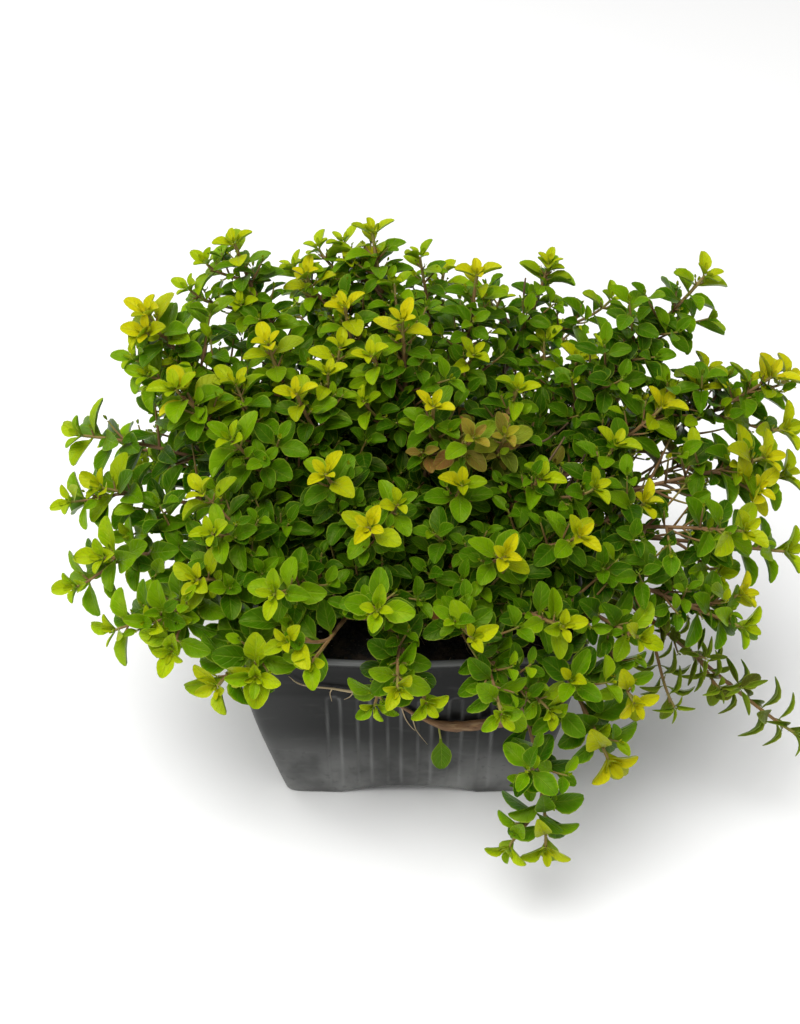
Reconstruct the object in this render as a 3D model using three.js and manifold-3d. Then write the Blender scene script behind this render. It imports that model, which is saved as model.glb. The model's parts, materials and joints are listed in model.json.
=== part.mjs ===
// Potted thyme: a square plastic nursery pot with fluted sides, the potting mix that fills it, and the
// leafy shoots of the plant, each rooted in its own hole in the mix. Millimetres, +Z up, standing on Z = 0.
import * as THREE from "three";
import { mergeVertices } from "three/addons/utils/BufferGeometryUtils.js";
import Module from "manifold-3d";

const wasm = await Module();
wasm.setup();

// --- Driving dimensions -------------------------------------------------------------------------------

const POT_HEIGHT = 60;
const RIM_HALF = 45.6; // half the pot's width across its rim
const BAND_HALF = 43.8; // half the width at the foot of the plain band under the rim
const FOOT_HALF = 35.2; // half the width at the bottom edge
const BAND_Z = 46; // the flutes end here, under the plain band
const LIP_THICK = 1.5;
const LIP_WIDTH = 1.4; // it stands out this far from the band
const FOOT_EDGE = 1.4; // height of the eased edge round the foot
const WALL = 1.1;
const FIT_GAP = 0.35; // the mix stands this far inside the pot's wall

const SQUARENESS = 20; // exponent of the plan's superellipse: higher is a tighter corner
const SIDE_BOW = 0.03; // the sides bulge by this share of the half width
const PLAN_POINTS = 24;
const PLAN_CROWDING = 0.75; // gathers the points towards the corners, where the plan bends

const FLUTE_COUNT = 6; // on each side
const FLUTE_PITCH = 7.5;
const FLUTE_HALF_WIDTH = 2.4;
const FLUTE_DEPTH = 0.6;

const ARCH_WIDTH = 38; // the underside is raised in a cross, so each side's bottom edge has an arch
const ARCH_RISE = 3.6;
const DRAIN_RADIUS = 2.5;
const DRAIN_OFFSET = 23;

const MIX_EDGE_Z = 50.6; // the potting mix at the wall
const MIX_CROWN_Z = 53; // and in the middle
const MIX_LUMPS = 0.5; // height of the unevenness on top
const ROOT_Z = 46.4; // where the stems start, in the mix

const STEM_RADIUS = 1; // from the middle to the corners of the square stem
const HOLE_RADIUS = 1.6; // of the square hole in the mix that it stands in
const TWIG_RADIUS = 0.6;
const STEM_STEPS = 5;

const ROOT_SHARE = 0.3; // a shoot is rooted at this share of its tip's distance from the pot's axis
const CLIMB = 0.42; // share of its reach for which a stem heads straight up
const TIP_RUN = 0.4; // share of its reach for which it heads the way it ends
const CREST_Z = 75; // stems with a lower tip climb higher first, to clear the rim,
const CREST_CLIMB = 0.8; // by this share of the tip's depth below the crest
const BEND = 0.05; // sideways bend of a stem, of its reach, unless a shoot states its own
const LIGHT_PULL = 0.8; // how far leaves turn from the stem's own direction towards the light
const LEAF_WIDTH = 0.68; // of its length
const LEAF_BLUNT = 0.7; // below 1 the blade is widest beyond its middle
const LEAF_THICK = 1;
const LEAF_ARCH = 0.25; // how far a blade's ends bend down
const LEAF_SEAT = 0.2; // a blade's pointed root lies this far from the middle of its stem
const LEAF_GAP = 0.3; // least distance to another shoot, the pot or the mix

// The leaf pairs of a stem and of its side twig, from the tip back: distance from the tip, leaf length,
// and how steeply the two leaves stand up from the plane across the stem, in degrees.
const STEM_PAIRS = [
  { back: 0.8, length: 7.5, rise: 44 },
  { back: 3.6, length: 10, rise: 18 },
  { back: 12, length: 11, rise: 10 },
];
const TWIG_PAIRS = [{ back: 0.8, length: 9.5, rise: 28 }];
const TWIG_BACK = 21; // the side twig leaves the stem this far behind the tip
const TWIG_LENGTH = 15;
const TWIG_RISE = 38; // degrees

const SLIVER = 0.006; // points closer together than this are merged

// Where each shoot's tip is, from the middle of the pot's foot, and its lift: the angle at which the stem
// arrives there, in degrees above level. Shoots that hang over the rim arrive pointing down. `climb` is how
// far one heads straight up first, where it differs from the rule.
const SHOOTS = {
  crown: [
    { at: [-47, 42, 131], lift: 70 },
    { at: [-10, 46, 132], lift: 62 },
    { at: [18, 34, 126], lift: 76 },
    { at: [39, 54, 116], lift: 55 },
    { at: [-17, 24, 122], lift: 80 },
    { at: [-37, 14, 117], lift: 74 },
    { at: [-2, 14, 124], lift: 85 },
    { at: [-29, -2, 112], lift: 72 },
    { at: [6, -6, 111], lift: 82 },
    { at: [28, 6, 108], lift: 74 },
    { at: [46, 28, 103], lift: 62 },
  ],
  left: [
    { at: [-68, 17, 124], lift: 56 },
    { at: [-60, 0, 112], lift: 50 },
    { at: [-45, -14, 106], lift: 55 },
    { at: [-87, 5, 94], lift: 8 },
    { at: [-78, -29, 80], lift: 14 },
    { at: [-64, -45, 72], lift: -4 },
  ],
  front: [
    { at: [-21, -24, 103], lift: 64 },
    { at: [13, -22, 98], lift: 66 },
    { at: [33, -18, 97], lift: 62 },
    { at: [-49, -34, 92], lift: 36 },
    { at: [-10, -39, 98], lift: 54 },
    { at: [23, -43, 92], lift: 48 },
    { at: [42, -34, 91], lift: 44 },
    { at: [-33, -50, 86], lift: 30 },
    { at: [-8, -56, 86], lift: 34 },
    { at: [15, -58, 79], lift: 20 },
    { at: [37, -55, 80], lift: 20 },
    { at: [-24, -59, 72], lift: 8 },
    { at: [-48, -55, 60], lift: -28 },
    { at: [-3, -62, 66], lift: -22 },
    { at: [57, -48, 70], lift: 0 },
    { at: [22, -68, 63], lift: -28 },
    { at: [50, -63, 42], lift: -56 },
    { at: [34, -77, 25], lift: -66, bend: 0.1 },
  ],
  right: [
    { at: [78, 30, 128], lift: 48 },
    { at: [66, 4, 104], lift: 52 },
    { at: [96, 15, 106], lift: 36 },
    { at: [79, 10, 84], lift: 16, bend: -0.12 },
    { at: [92, -6, 95], lift: 26 },
    { at: [60, -18, 89], lift: 44 },
    { at: [84, -28, 88], lift: 20, bend: 0.1 },
    { at: [98, -19, 74], lift: 2 },
    { at: [84, -42, 68], lift: -8 },
    { at: [103, -42, 30], lift: -24, climb: 48 },
  ],
  back: [
    { at: [66, 44, 103], lift: 48 },
    { at: [10, 66, 108], lift: 46 },
    { at: [-30, 62, 110], lift: 48 },
    { at: [-66, 42, 104], lift: 38 },
    { at: [78, 48, 72], lift: 4 },
    { at: [34, 72, 76], lift: 12 },
    { at: [-16, 76, 80], lift: 14 },
    { at: [-84, 36, 70], lift: 4 },
  ],
  side: [
    { at: [-53, -40, 82], lift: 24 },
    { at: [-80, -10, 88], lift: 20 },
  ],
};

// --- Materials ----------------------------------------------------------------------------------------

const potPlastic = new THREE.MeshStandardMaterial({ color: 0x3a3c3b, roughness: 0.42, metalness: 0 });
const pottingMix = new THREE.MeshStandardMaterial({ color: 0x17110d, roughness: 0.95, metalness: 0 });
const thymeGreen = new THREE.MeshStandardMaterial({ color: 0x5f9320, roughness: 0.5, metalness: 0 });

// --- Small tools --------------------------------------------------------------------------------------

const UP = new THREE.Vector3(0, 0, 1);
const radians = THREE.MathUtils.degToRad;

/** A repeatable number from -1 to 1 for shoot i and purpose k. */
function wobble(i, k) {
  const x = Math.sin(12.9898 * i + 78.233 * k) * 43758.5453;
  return 2 * (x - Math.floor(x)) - 1;
}

/** The direction `angle` degrees from `level` towards `steep`, which is square to it. */
function tilted(level, steep, angle) {
  const turned = level.clone().multiplyScalar(Math.cos(radians(angle)));
  return turned.addScaledVector(steep, Math.sin(radians(angle)));
}

/** A closed three.js geometry as a solid for joining and cutting. */
function solidOf(geometry) {
  const bare = geometry.clone();
  bare.deleteAttribute("normal");
  bare.deleteAttribute("uv");
  const merged = mergeVertices(bare, 1e-4);
  return new wasm.Manifold(
    new wasm.Mesh({
      numProp: 3,
      vertProperties: merged.attributes.position.array,
      triVerts: new Uint32Array(merged.index.array),
    }),
  );
}

/** A finished solid as a named mesh, without the slivers that joining leaves. */
function meshOf(solid, name, material) {
  const made = solid.simplify(SLIVER).getMesh();
  const geometry = new THREE.BufferGeometry();
  geometry.setAttribute("position", new THREE.BufferAttribute(made.vertProperties, 3));
  geometry.setIndex(new THREE.BufferAttribute(made.triVerts, 1));
  geometry.computeVertexNormals();
  const mesh = new THREE.Mesh(geometry, material);
  mesh.name = name;
  return mesh;
}

// --- Pot and potting mix ------------------------------------------------------------------------------

/** Distance from the axis to a side of the plan of half width 1, in direction `angle`. */
function planRadius(angle) {
  const c = Math.abs(Math.cos(angle));
  const s = Math.abs(Math.sin(angle));
  const square = (c ** SQUARENESS + s ** SQUARENESS) ** (-1 / SQUARENESS);
  return square * (1 + SIDE_BOW * Math.cos(2 * angle) ** 2);
}

/** Turns a profile of [half width, height] points, from axis to axis, into a rounded square solid. */
function squareTurned(profile, lumps = 0) {
  const points = profile.map((point) => new THREE.Vector2(...point));
  const geometry = new THREE.LatheGeometry(points, PLAN_POINTS).rotateX(Math.PI / 2);
  const position = geometry.getAttribute("position");
  for (let i = 0; i < position.count; i++) {
    const half = Math.hypot(position.getX(i), position.getY(i));
    const even = Math.atan2(position.getY(i), position.getX(i));
    const angle = even + (PLAN_CROWDING * Math.sin(4 * even)) / 4;
    const radius = half * planRadius(angle);
    const x = radius * Math.cos(angle);
    const y = radius * Math.sin(angle);
    const z = position.getZ(i);
    const lump = z < MIX_EDGE_Z ? 0 : lumps * Math.sin(0.45 * x + 2) * Math.cos(0.38 * y + x);
    position.setXYZ(i, x, y, z + lump);
  }
  return solidOf(geometry);
}

/** The raised cross of the underside, made larger by `grow` on top and at its edges. */
function raisedCross(grow) {
  const half = ARCH_WIDTH / 2;
  const radius = (half ** 2 + ARCH_RISE ** 2) / (2 * ARCH_RISE);
  const arch = new THREE.Shape();
  const spread = Math.asin(half / radius);
  arch.absarc(0, ARCH_RISE - radius, radius + grow, Math.PI / 2 - spread, Math.PI / 2 + spread);
  arch.lineTo(-half - grow, -5);
  arch.lineTo(half + grow, -5);
  const length = 2 * RIM_HALF;
  const tunnel = new THREE.ExtrudeGeometry(arch, { depth: length, bevelEnabled: false, curveSegments: 5 });
  tunnel.translate(0, 0, -length / 2).rotateX(Math.PI / 2);
  return solidOf(tunnel).add(solidOf(tunnel.clone().rotateZ(Math.PI / 2)));
}

/** One rounded-top groove, lying on the front wall at `x`. */
function fluteCutter(x) {
  const lean = Math.atan2(BAND_HALF - FOOT_HALF, BAND_Z);
  const length = BAND_Z + FLUTE_HALF_WIDTH;
  const capsule = new THREE.CapsuleGeometry(FLUTE_HALF_WIDTH, length, 1, 6);
  capsule.rotateX(Math.PI / 2);
  capsule.scale(1, FLUTE_DEPTH / FLUTE_HALF_WIDTH, 1);
  capsule.rotateX(lean);
  const middle = (BAND_HALF + FOOT_HALF) / 2;
  const bow = 1 + SIDE_BOW * Math.cos(2 * Math.atan2(x, middle)) ** 2;
  const drop = (BAND_Z - length) / 2 - FLUTE_HALF_WIDTH; // its round top ends at the plain band
  const narrowing = FOOT_HALF / BAND_HALF;
  capsule.translate(0, -middle * bow - drop * Math.tan(lean), BAND_Z / 2 + drop);
  const fan = Math.atan2(x * (1 - narrowing), BAND_Z); // the flutes draw together towards the foot
  capsule.translate(0, 0, -BAND_Z).rotateY(fan).translate(x, 0, BAND_Z);
  return solidOf(capsule);
}

function makePot() {
  const outside = squareTurned([
    [0, 0],
    [FOOT_HALF - 1, 0],
    [FOOT_HALF, FOOT_EDGE],
    [BAND_HALF, BAND_Z],
    [RIM_HALF - LIP_WIDTH, POT_HEIGHT - LIP_THICK - 0.6],
    [RIM_HALF, POT_HEIGHT - LIP_THICK],
    [RIM_HALF, POT_HEIGHT],
    [0, POT_HEIGHT],
  ]);
  const inside = squareTurned([
    [0, WALL],
    [FOOT_HALF - WALL - 0.4, WALL],
    [BAND_HALF - WALL, BAND_Z],
    [RIM_HALF - LIP_WIDTH - WALL, POT_HEIGHT + 1],
    [0, POT_HEIGHT + 1],
  ]);
  const cutters = [raisedCross(0)];
  for (let side = 0; side < 4; side++) {
    for (let k = 0; k < FLUTE_COUNT; k++) {
      const x = (k - (FLUTE_COUNT - 1) / 2) * FLUTE_PITCH;
      cutters.push(fluteCutter(x).rotate([0, 0, 90 * side]));
    }
    const drain = new THREE.CylinderGeometry(DRAIN_RADIUS, DRAIN_RADIUS, 20, 8).rotateX(Math.PI / 2);
    cutters.push(solidOf(drain.translate(0, -DRAIN_OFFSET, 0)).rotate([0, 0, 90 * side]));
  }
  const shell = outside.subtract(inside.subtract(raisedCross(WALL)));
  return shell.subtract(wasm.Manifold.union(cutters));
}

function makeMix(stems, rolls) {
  const clear = WALL + FIT_GAP;
  const edgeHalf = BAND_HALF - clear + (MIX_EDGE_Z - BAND_Z) * 0.03;
  const body = squareTurned(
    [
      [0, clear],
      [FOOT_HALF - clear - 0.4, clear],
      [BAND_HALF - clear, BAND_Z],
      [edgeHalf, MIX_EDGE_Z],
      [edgeHalf * 0.6, MIX_CROWN_Z - 0.6],
      [0, MIX_CROWN_Z],
    ],
    MIX_LUMPS,
  );
  const holeTop = MIX_CROWN_Z + 2;
  const holes = stems.map((stem, i) => {
    const well = stem.clone();
    well.v0.z -= FIT_GAP;
    return tube(well, HOLE_RADIUS, rolls[i]).trimByPlane([0, 0, -1], -holeTop);
  });
  return body.subtract(raisedCross(clear)).subtract(wasm.Manifold.union(holes));
}

// --- Shoots -------------------------------------------------------------------------------------------

/** A square stem carried along a curve, its four faces turned by `roll` degrees. */
function tube(curve, radius, roll, steps = STEM_STEPS) {
  const corners = [0, 90, 180, 270].map((angle) => {
    const turned = radians(angle + roll);
    return new THREE.Vector2(radius * Math.cos(turned), radius * Math.sin(turned));
  });
  const section = new THREE.Shape(corners);
  return solidOf(new THREE.ExtrudeGeometry(section, { steps, extrudePath: curve, bevelEnabled: false }));
}

/** The curve of a shoot's stem from its root in the mix to its tip. */
function stemCurve({ at, lift, bend = BEND * wobble(1, at[0]), climb = 0 }) {
  const tip = new THREE.Vector3(...at);
  const root = new THREE.Vector3(tip.x * ROOT_SHARE, tip.y * ROOT_SHARE, ROOT_Z);
  const reach = tip.distanceTo(root);
  const out = new THREE.Vector3(tip.x - root.x, tip.y - root.y, 0).normalize();
  const side = new THREE.Vector3().crossVectors(UP, out);
  const rise = climb || CLIMB * reach + CREST_CLIMB * Math.max(0, CREST_Z - tip.z);
  const above = root.clone().addScaledVector(UP, rise);
  const behind = tip.clone().addScaledVector(tilted(out, UP, lift), -TIP_RUN * reach);
  behind.addScaledVector(side, bend * reach);
  return new THREE.CubicBezierCurve3(root, above, behind, tip);
}

/** The place `back` mm behind the tip of a curve, with the leaf axis there, which leans to the light. */
function nodeOn(curve, steps, back) {
  const u = Math.max(0, 1 - back / curve.getLength());
  const axis = curve.getTangentAt(u).addScaledVector(UP, LIGHT_PULL).normalize();
  const joints = curve.getSpacedPoints(steps);
  const before = Math.min(Math.floor(u * steps), steps - 1);
  const point = joints[before].clone().lerp(joints[before + 1], u * steps - before);
  const { normals, binormals } = curve.computeFrenetFrames(steps);
  const nearest = Math.round(u * steps);
  return { point, axis, normal: normals[nearest], binormal: binormals[nearest] };
}

/** The direction square to a node's axis that lies nearest to `angle` degrees round its stem. */
function aroundNode({ axis, normal, binormal }, angle) {
  return tilted(normal, binormal, angle).projectOnPlane(axis).normalize();
}

/** The short side twig of a stem, which grows from one of its faces. */
function twigLine(stem, roll, i) {
  const node = nodeOn(stem, STEM_STEPS, TWIG_BACK);
  const sideways = aroundNode(node, roll + (wobble(i, 2) > 0 ? 135 : -45));
  const length = TWIG_LENGTH + 3 * wobble(i, 3);
  const ahead = tilted(sideways, node.axis, TWIG_RISE);
  return new THREE.LineCurve3(node.point, node.point.clone().addScaledVector(ahead, length));
}

/** One arched blade with its root at the origin, pointing along +X with its face up. */
function bladeGeometry(length) {
  const blade = new THREE.SphereGeometry(1, 6, 2).rotateX(Math.PI / 2); // six points round its edge
  const position = blade.getAttribute("position");
  for (let k = 0; k < position.count; k++) {
    const share = Math.max(0, (position.getX(k) + 1) / 2) ** LEAF_BLUNT; // 0 at the root, 1 at the end
    const arch = length * LEAF_ARCH * share * (1 - share);
    const y = (position.getY(k) * length * LEAF_WIDTH) / 2;
    position.setXYZ(k, share * length, y, (position.getZ(k) * LEAF_THICK) / 2 + arch);
  }
  return blade;
}

/** The leaf pairs of one curve as loose blades, each pair standing on the faces beside the last one's. */
function blades(curve, steps, pairs, roll, i) {
  const made = [];
  pairs.forEach(({ back, length, rise }, pair) => {
    const node = nodeOn(curve, steps, back);
    for (const way of [0, 180]) {
      const outward = aroundNode(node, roll + 45 + 90 * pair + way);
      const tilt = rise + 8 * wobble(i, 10 * pair + way);
      const ahead = tilted(outward, node.axis, tilt);
      const face = tilted(node.axis, outward, -tilt);
      const across = new THREE.Vector3().crossVectors(face, ahead);
      const seat = node.point.clone().addScaledVector(ahead, LEAF_SEAT);
      const place = new THREE.Matrix4().makeBasis(ahead, across, face).setPosition(seat);
      const blade = bladeGeometry(length * (1 + 0.1 * wobble(i, 10 * pair + way + 1)));
      made.push(solidOf(blade.applyMatrix4(place)));
    }
  });
  return made;
}

/** True if a solid's box, grown by the leaf gap, meets another's. */
function boxesMeet(a, b) {
  return [0, 1, 2].every((k) => a.min[k] - LEAF_GAP < b.max[k] && b.min[k] - LEAF_GAP < a.max[k]);
}

/** True if a solid keeps the leaf gap to another. */
function isClear(solid, box, other) {
  return !boxesMeet(box, other.box) || solid.minGap(other.solid, LEAF_GAP) >= LEAF_GAP;
}

const potSolid = makePot();
const shoots = Object.entries(SHOOTS).flatMap(([zone, rows]) =>
  rows.map((row, k) => ({ name: `shoot_${zone}_${String(k + 1).padStart(2, "0")}`, ...row })),
);
const stems = shoots.map(stemCurve);
const rolls = shoots.map((_, i) => 45 * wobble(i, 5));
const mixSolid = makeMix(stems, rolls);

const placed = [];
const parts = shoots.map(() => []);

/** Adds a solid to shoot `owner`, unless it comes too near another shoot, the pot or the mix. */
function addIfClear(solid, owner) {
  const box = solid.boundingBox();
  if (!placed.every((other) => other.owner === owner || isClear(solid, box, other))) return false;
  placed.push({ solid, box, owner });
  parts[owner].push(solid);
  return true;
}

for (const solid of [potSolid, mixSolid]) placed.push({ solid, box: solid.boundingBox() });
stems.forEach((stem, i) => {
  if (!addIfClear(tube(stem, STEM_RADIUS, rolls[i]), i)) {
    throw new Error(`${shoots[i].name} comes too near another piece: move its tip or change its bend`);
  }
});

// Blades of the stems come first, then each twig with its own blades, if the twig is clear.
stems.forEach((stem, i) => {
  blades(stem, STEM_STEPS, STEM_PAIRS, rolls[i], i).forEach((blade) => addIfClear(blade, i));
});
stems.forEach((stem, i) => {
  const twig = twigLine(stem, rolls[i], i);
  if (!addIfClear(tube(twig, TWIG_RADIUS, 0, 1), i)) return;
  blades(twig, 1, TWIG_PAIRS, 0, i + shoots.length).forEach((blade) => addIfClear(blade, i));
});

// --- The object ---------------------------------------------------------------------------------------

const pottedThyme = new THREE.Group();
pottedThyme.add(meshOf(potSolid, "pot", potPlastic), meshOf(mixSolid, "potting_mix", pottingMix));
shoots.forEach((shoot, i) => {
  pottedThyme.add(meshOf(wasm.Manifold.union(parts[i]), shoot.name, thymeGreen));
});

// The origin is the middle of the plant's footprint, on the surface that the pot stands on.
const footprint = new THREE.Box3().setFromObject(pottedThyme).getCenter(new THREE.Vector3());
pottedThyme.position.set(-footprint.x, -footprint.y, 0);

export default pottedThyme;
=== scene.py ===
import json
import logging
import math
import random
from collections.abc import Callable, Iterable, Sequence
from dataclasses import dataclass, field, replace
from enum import Enum

import bmesh
import bpy
import numpy as np
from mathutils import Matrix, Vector, noise

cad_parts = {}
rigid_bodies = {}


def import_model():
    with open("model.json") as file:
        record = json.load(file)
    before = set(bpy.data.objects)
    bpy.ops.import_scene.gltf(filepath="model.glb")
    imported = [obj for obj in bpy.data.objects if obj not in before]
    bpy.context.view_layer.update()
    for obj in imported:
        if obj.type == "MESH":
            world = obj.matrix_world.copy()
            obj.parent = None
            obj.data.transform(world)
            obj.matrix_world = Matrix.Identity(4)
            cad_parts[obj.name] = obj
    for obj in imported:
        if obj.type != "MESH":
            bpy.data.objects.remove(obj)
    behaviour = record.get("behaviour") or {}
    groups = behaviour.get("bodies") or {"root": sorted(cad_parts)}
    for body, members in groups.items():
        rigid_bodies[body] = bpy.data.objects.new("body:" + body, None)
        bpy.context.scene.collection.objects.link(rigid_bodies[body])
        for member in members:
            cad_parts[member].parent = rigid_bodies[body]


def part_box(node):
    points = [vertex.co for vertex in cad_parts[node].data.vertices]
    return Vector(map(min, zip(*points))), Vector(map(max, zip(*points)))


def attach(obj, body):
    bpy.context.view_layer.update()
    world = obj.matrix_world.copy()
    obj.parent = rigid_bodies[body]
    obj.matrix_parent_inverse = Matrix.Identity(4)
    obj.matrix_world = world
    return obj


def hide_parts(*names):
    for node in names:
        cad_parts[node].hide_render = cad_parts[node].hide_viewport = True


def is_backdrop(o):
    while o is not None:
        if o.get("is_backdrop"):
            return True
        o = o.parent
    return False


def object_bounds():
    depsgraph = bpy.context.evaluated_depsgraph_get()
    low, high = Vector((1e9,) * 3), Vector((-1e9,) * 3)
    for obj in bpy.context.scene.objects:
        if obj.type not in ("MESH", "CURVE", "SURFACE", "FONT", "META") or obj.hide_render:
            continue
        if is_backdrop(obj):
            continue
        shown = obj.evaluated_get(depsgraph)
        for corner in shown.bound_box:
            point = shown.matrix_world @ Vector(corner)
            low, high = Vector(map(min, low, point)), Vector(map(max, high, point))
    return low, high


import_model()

LOG = logging.getLogger("potted_thyme")
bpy.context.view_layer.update()  # brings the imported model up to date before anything is added
MM = 0.001
UP = np.array([0.0, 0.0, 1.0])
LIGHT_PULL = 0.8  # how far the leaves turn from the stem's direction up to the light
LEAN = np.array([0.0, -0.45, 0.0])  # and how far forwards, to the light in front
LIP_LEVEL, LIP_FRONT = 61.0, -47.0  # the height and place of the pot's front lip, in millimetres
VIEW_SLOPE = 0.84  # how far a millimetre towards the back lifts a point in the photograph's view
PHOTO_LONG_SIDE = 1024  # pixels

Colour = tuple[float, float, float]


# --- Small tools ------------------------------------------------------------------------------------


def wobble(i: float, k: float) -> float:
    """A repeatable number from -1 to 1 for shoot i and purpose k, the same as in the CAD source.

    Args:
        i: The number of the shoot.
        k: The number of the purpose.

    Returns:
        The number.
    """
    x = math.sin(12.9898 * i + 78.233 * k) * 43758.5453
    return 2 * (x - math.floor(x)) - 1


def unit(vector: np.ndarray) -> np.ndarray:
    """The vector at length 1."""
    return vector / max(float(np.linalg.norm(vector)), 1e-12)


def tilted(level: np.ndarray, steep: np.ndarray, degrees: float) -> np.ndarray:
    """The direction some degrees from `level` towards `steep`, which is square to it.

    Args:
        level: The direction at 0 degrees.
        steep: The direction at 90 degrees.
        degrees: How far to turn.

    Returns:
        The turned direction.
    """
    angle = math.radians(degrees)
    return level * math.cos(angle) + steep * math.sin(angle)


def smoothstep(low: float, high: float, value: np.ndarray) -> np.ndarray:
    """0 below `low`, 1 above `high` and a smooth rise between them.

    Args:
        low: Where the rise starts.
        high: Where it ends.
        value: The values to pass through.

    Returns:
        The values from 0 to 1.
    """
    share = np.clip((value - low) / (high - low), 0.0, 1.0)
    return share * share * (3 - 2 * share)


def sight(points: np.ndarray) -> np.ndarray:
    """How high points stand above the pot's front lip as the photograph sees them, in millimetres.

    Args:
        points: One row for each point, from the middle of the pot's foot.

    Returns:
        The heights.
    """
    return points[:, 2] - LIP_LEVEL + VIEW_SLOPE * (points[:, 1] - LIP_FRONT)


def deselect_everything() -> None:
    """Leaves nothing selected and nothing active, so that an operator acts only on what comes next."""
    if bpy.context.mode != "OBJECT":
        bpy.ops.object.mode_set(mode="OBJECT")
    bpy.ops.object.select_all(action="DESELECT")
    bpy.context.view_layer.objects.active = None


def make_active(piece: bpy.types.Object) -> None:
    """Selects one object alone and makes it the active one.

    Args:
        piece: The object.
    """
    deselect_everything()
    piece.select_set(True)
    bpy.context.view_layer.objects.active = piece


def select_vertices(piece: bpy.types.Object, test: Callable[[Vector, int], bool]) -> None:
    """Selects the vertices of the object in edit mode that pass a test, and no others.

    Args:
        piece: The object in edit mode.
        test: Given a vertex's place and number, says whether to take it.
    """
    bpy.ops.mesh.select_mode(type="VERT")
    bpy.ops.mesh.select_all(action="DESELECT")
    edited = bmesh.from_edit_mesh(piece.data)
    for vertex in edited.verts:
        vertex.select = test(vertex.co, vertex.index)
    edited.select_flush(True)
    bmesh.update_edit_mesh(piece.data)


def apply_modifiers(piece: bpy.types.Object) -> None:
    """Applies every modifier of a piece in order.

    Args:
        piece: The piece.
    """
    make_active(piece)
    for modifier in list(piece.modifiers):
        bpy.ops.object.modifier_apply(modifier=modifier.name)


# --- Wiring of materials ----------------------------------------------------------------------------


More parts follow.
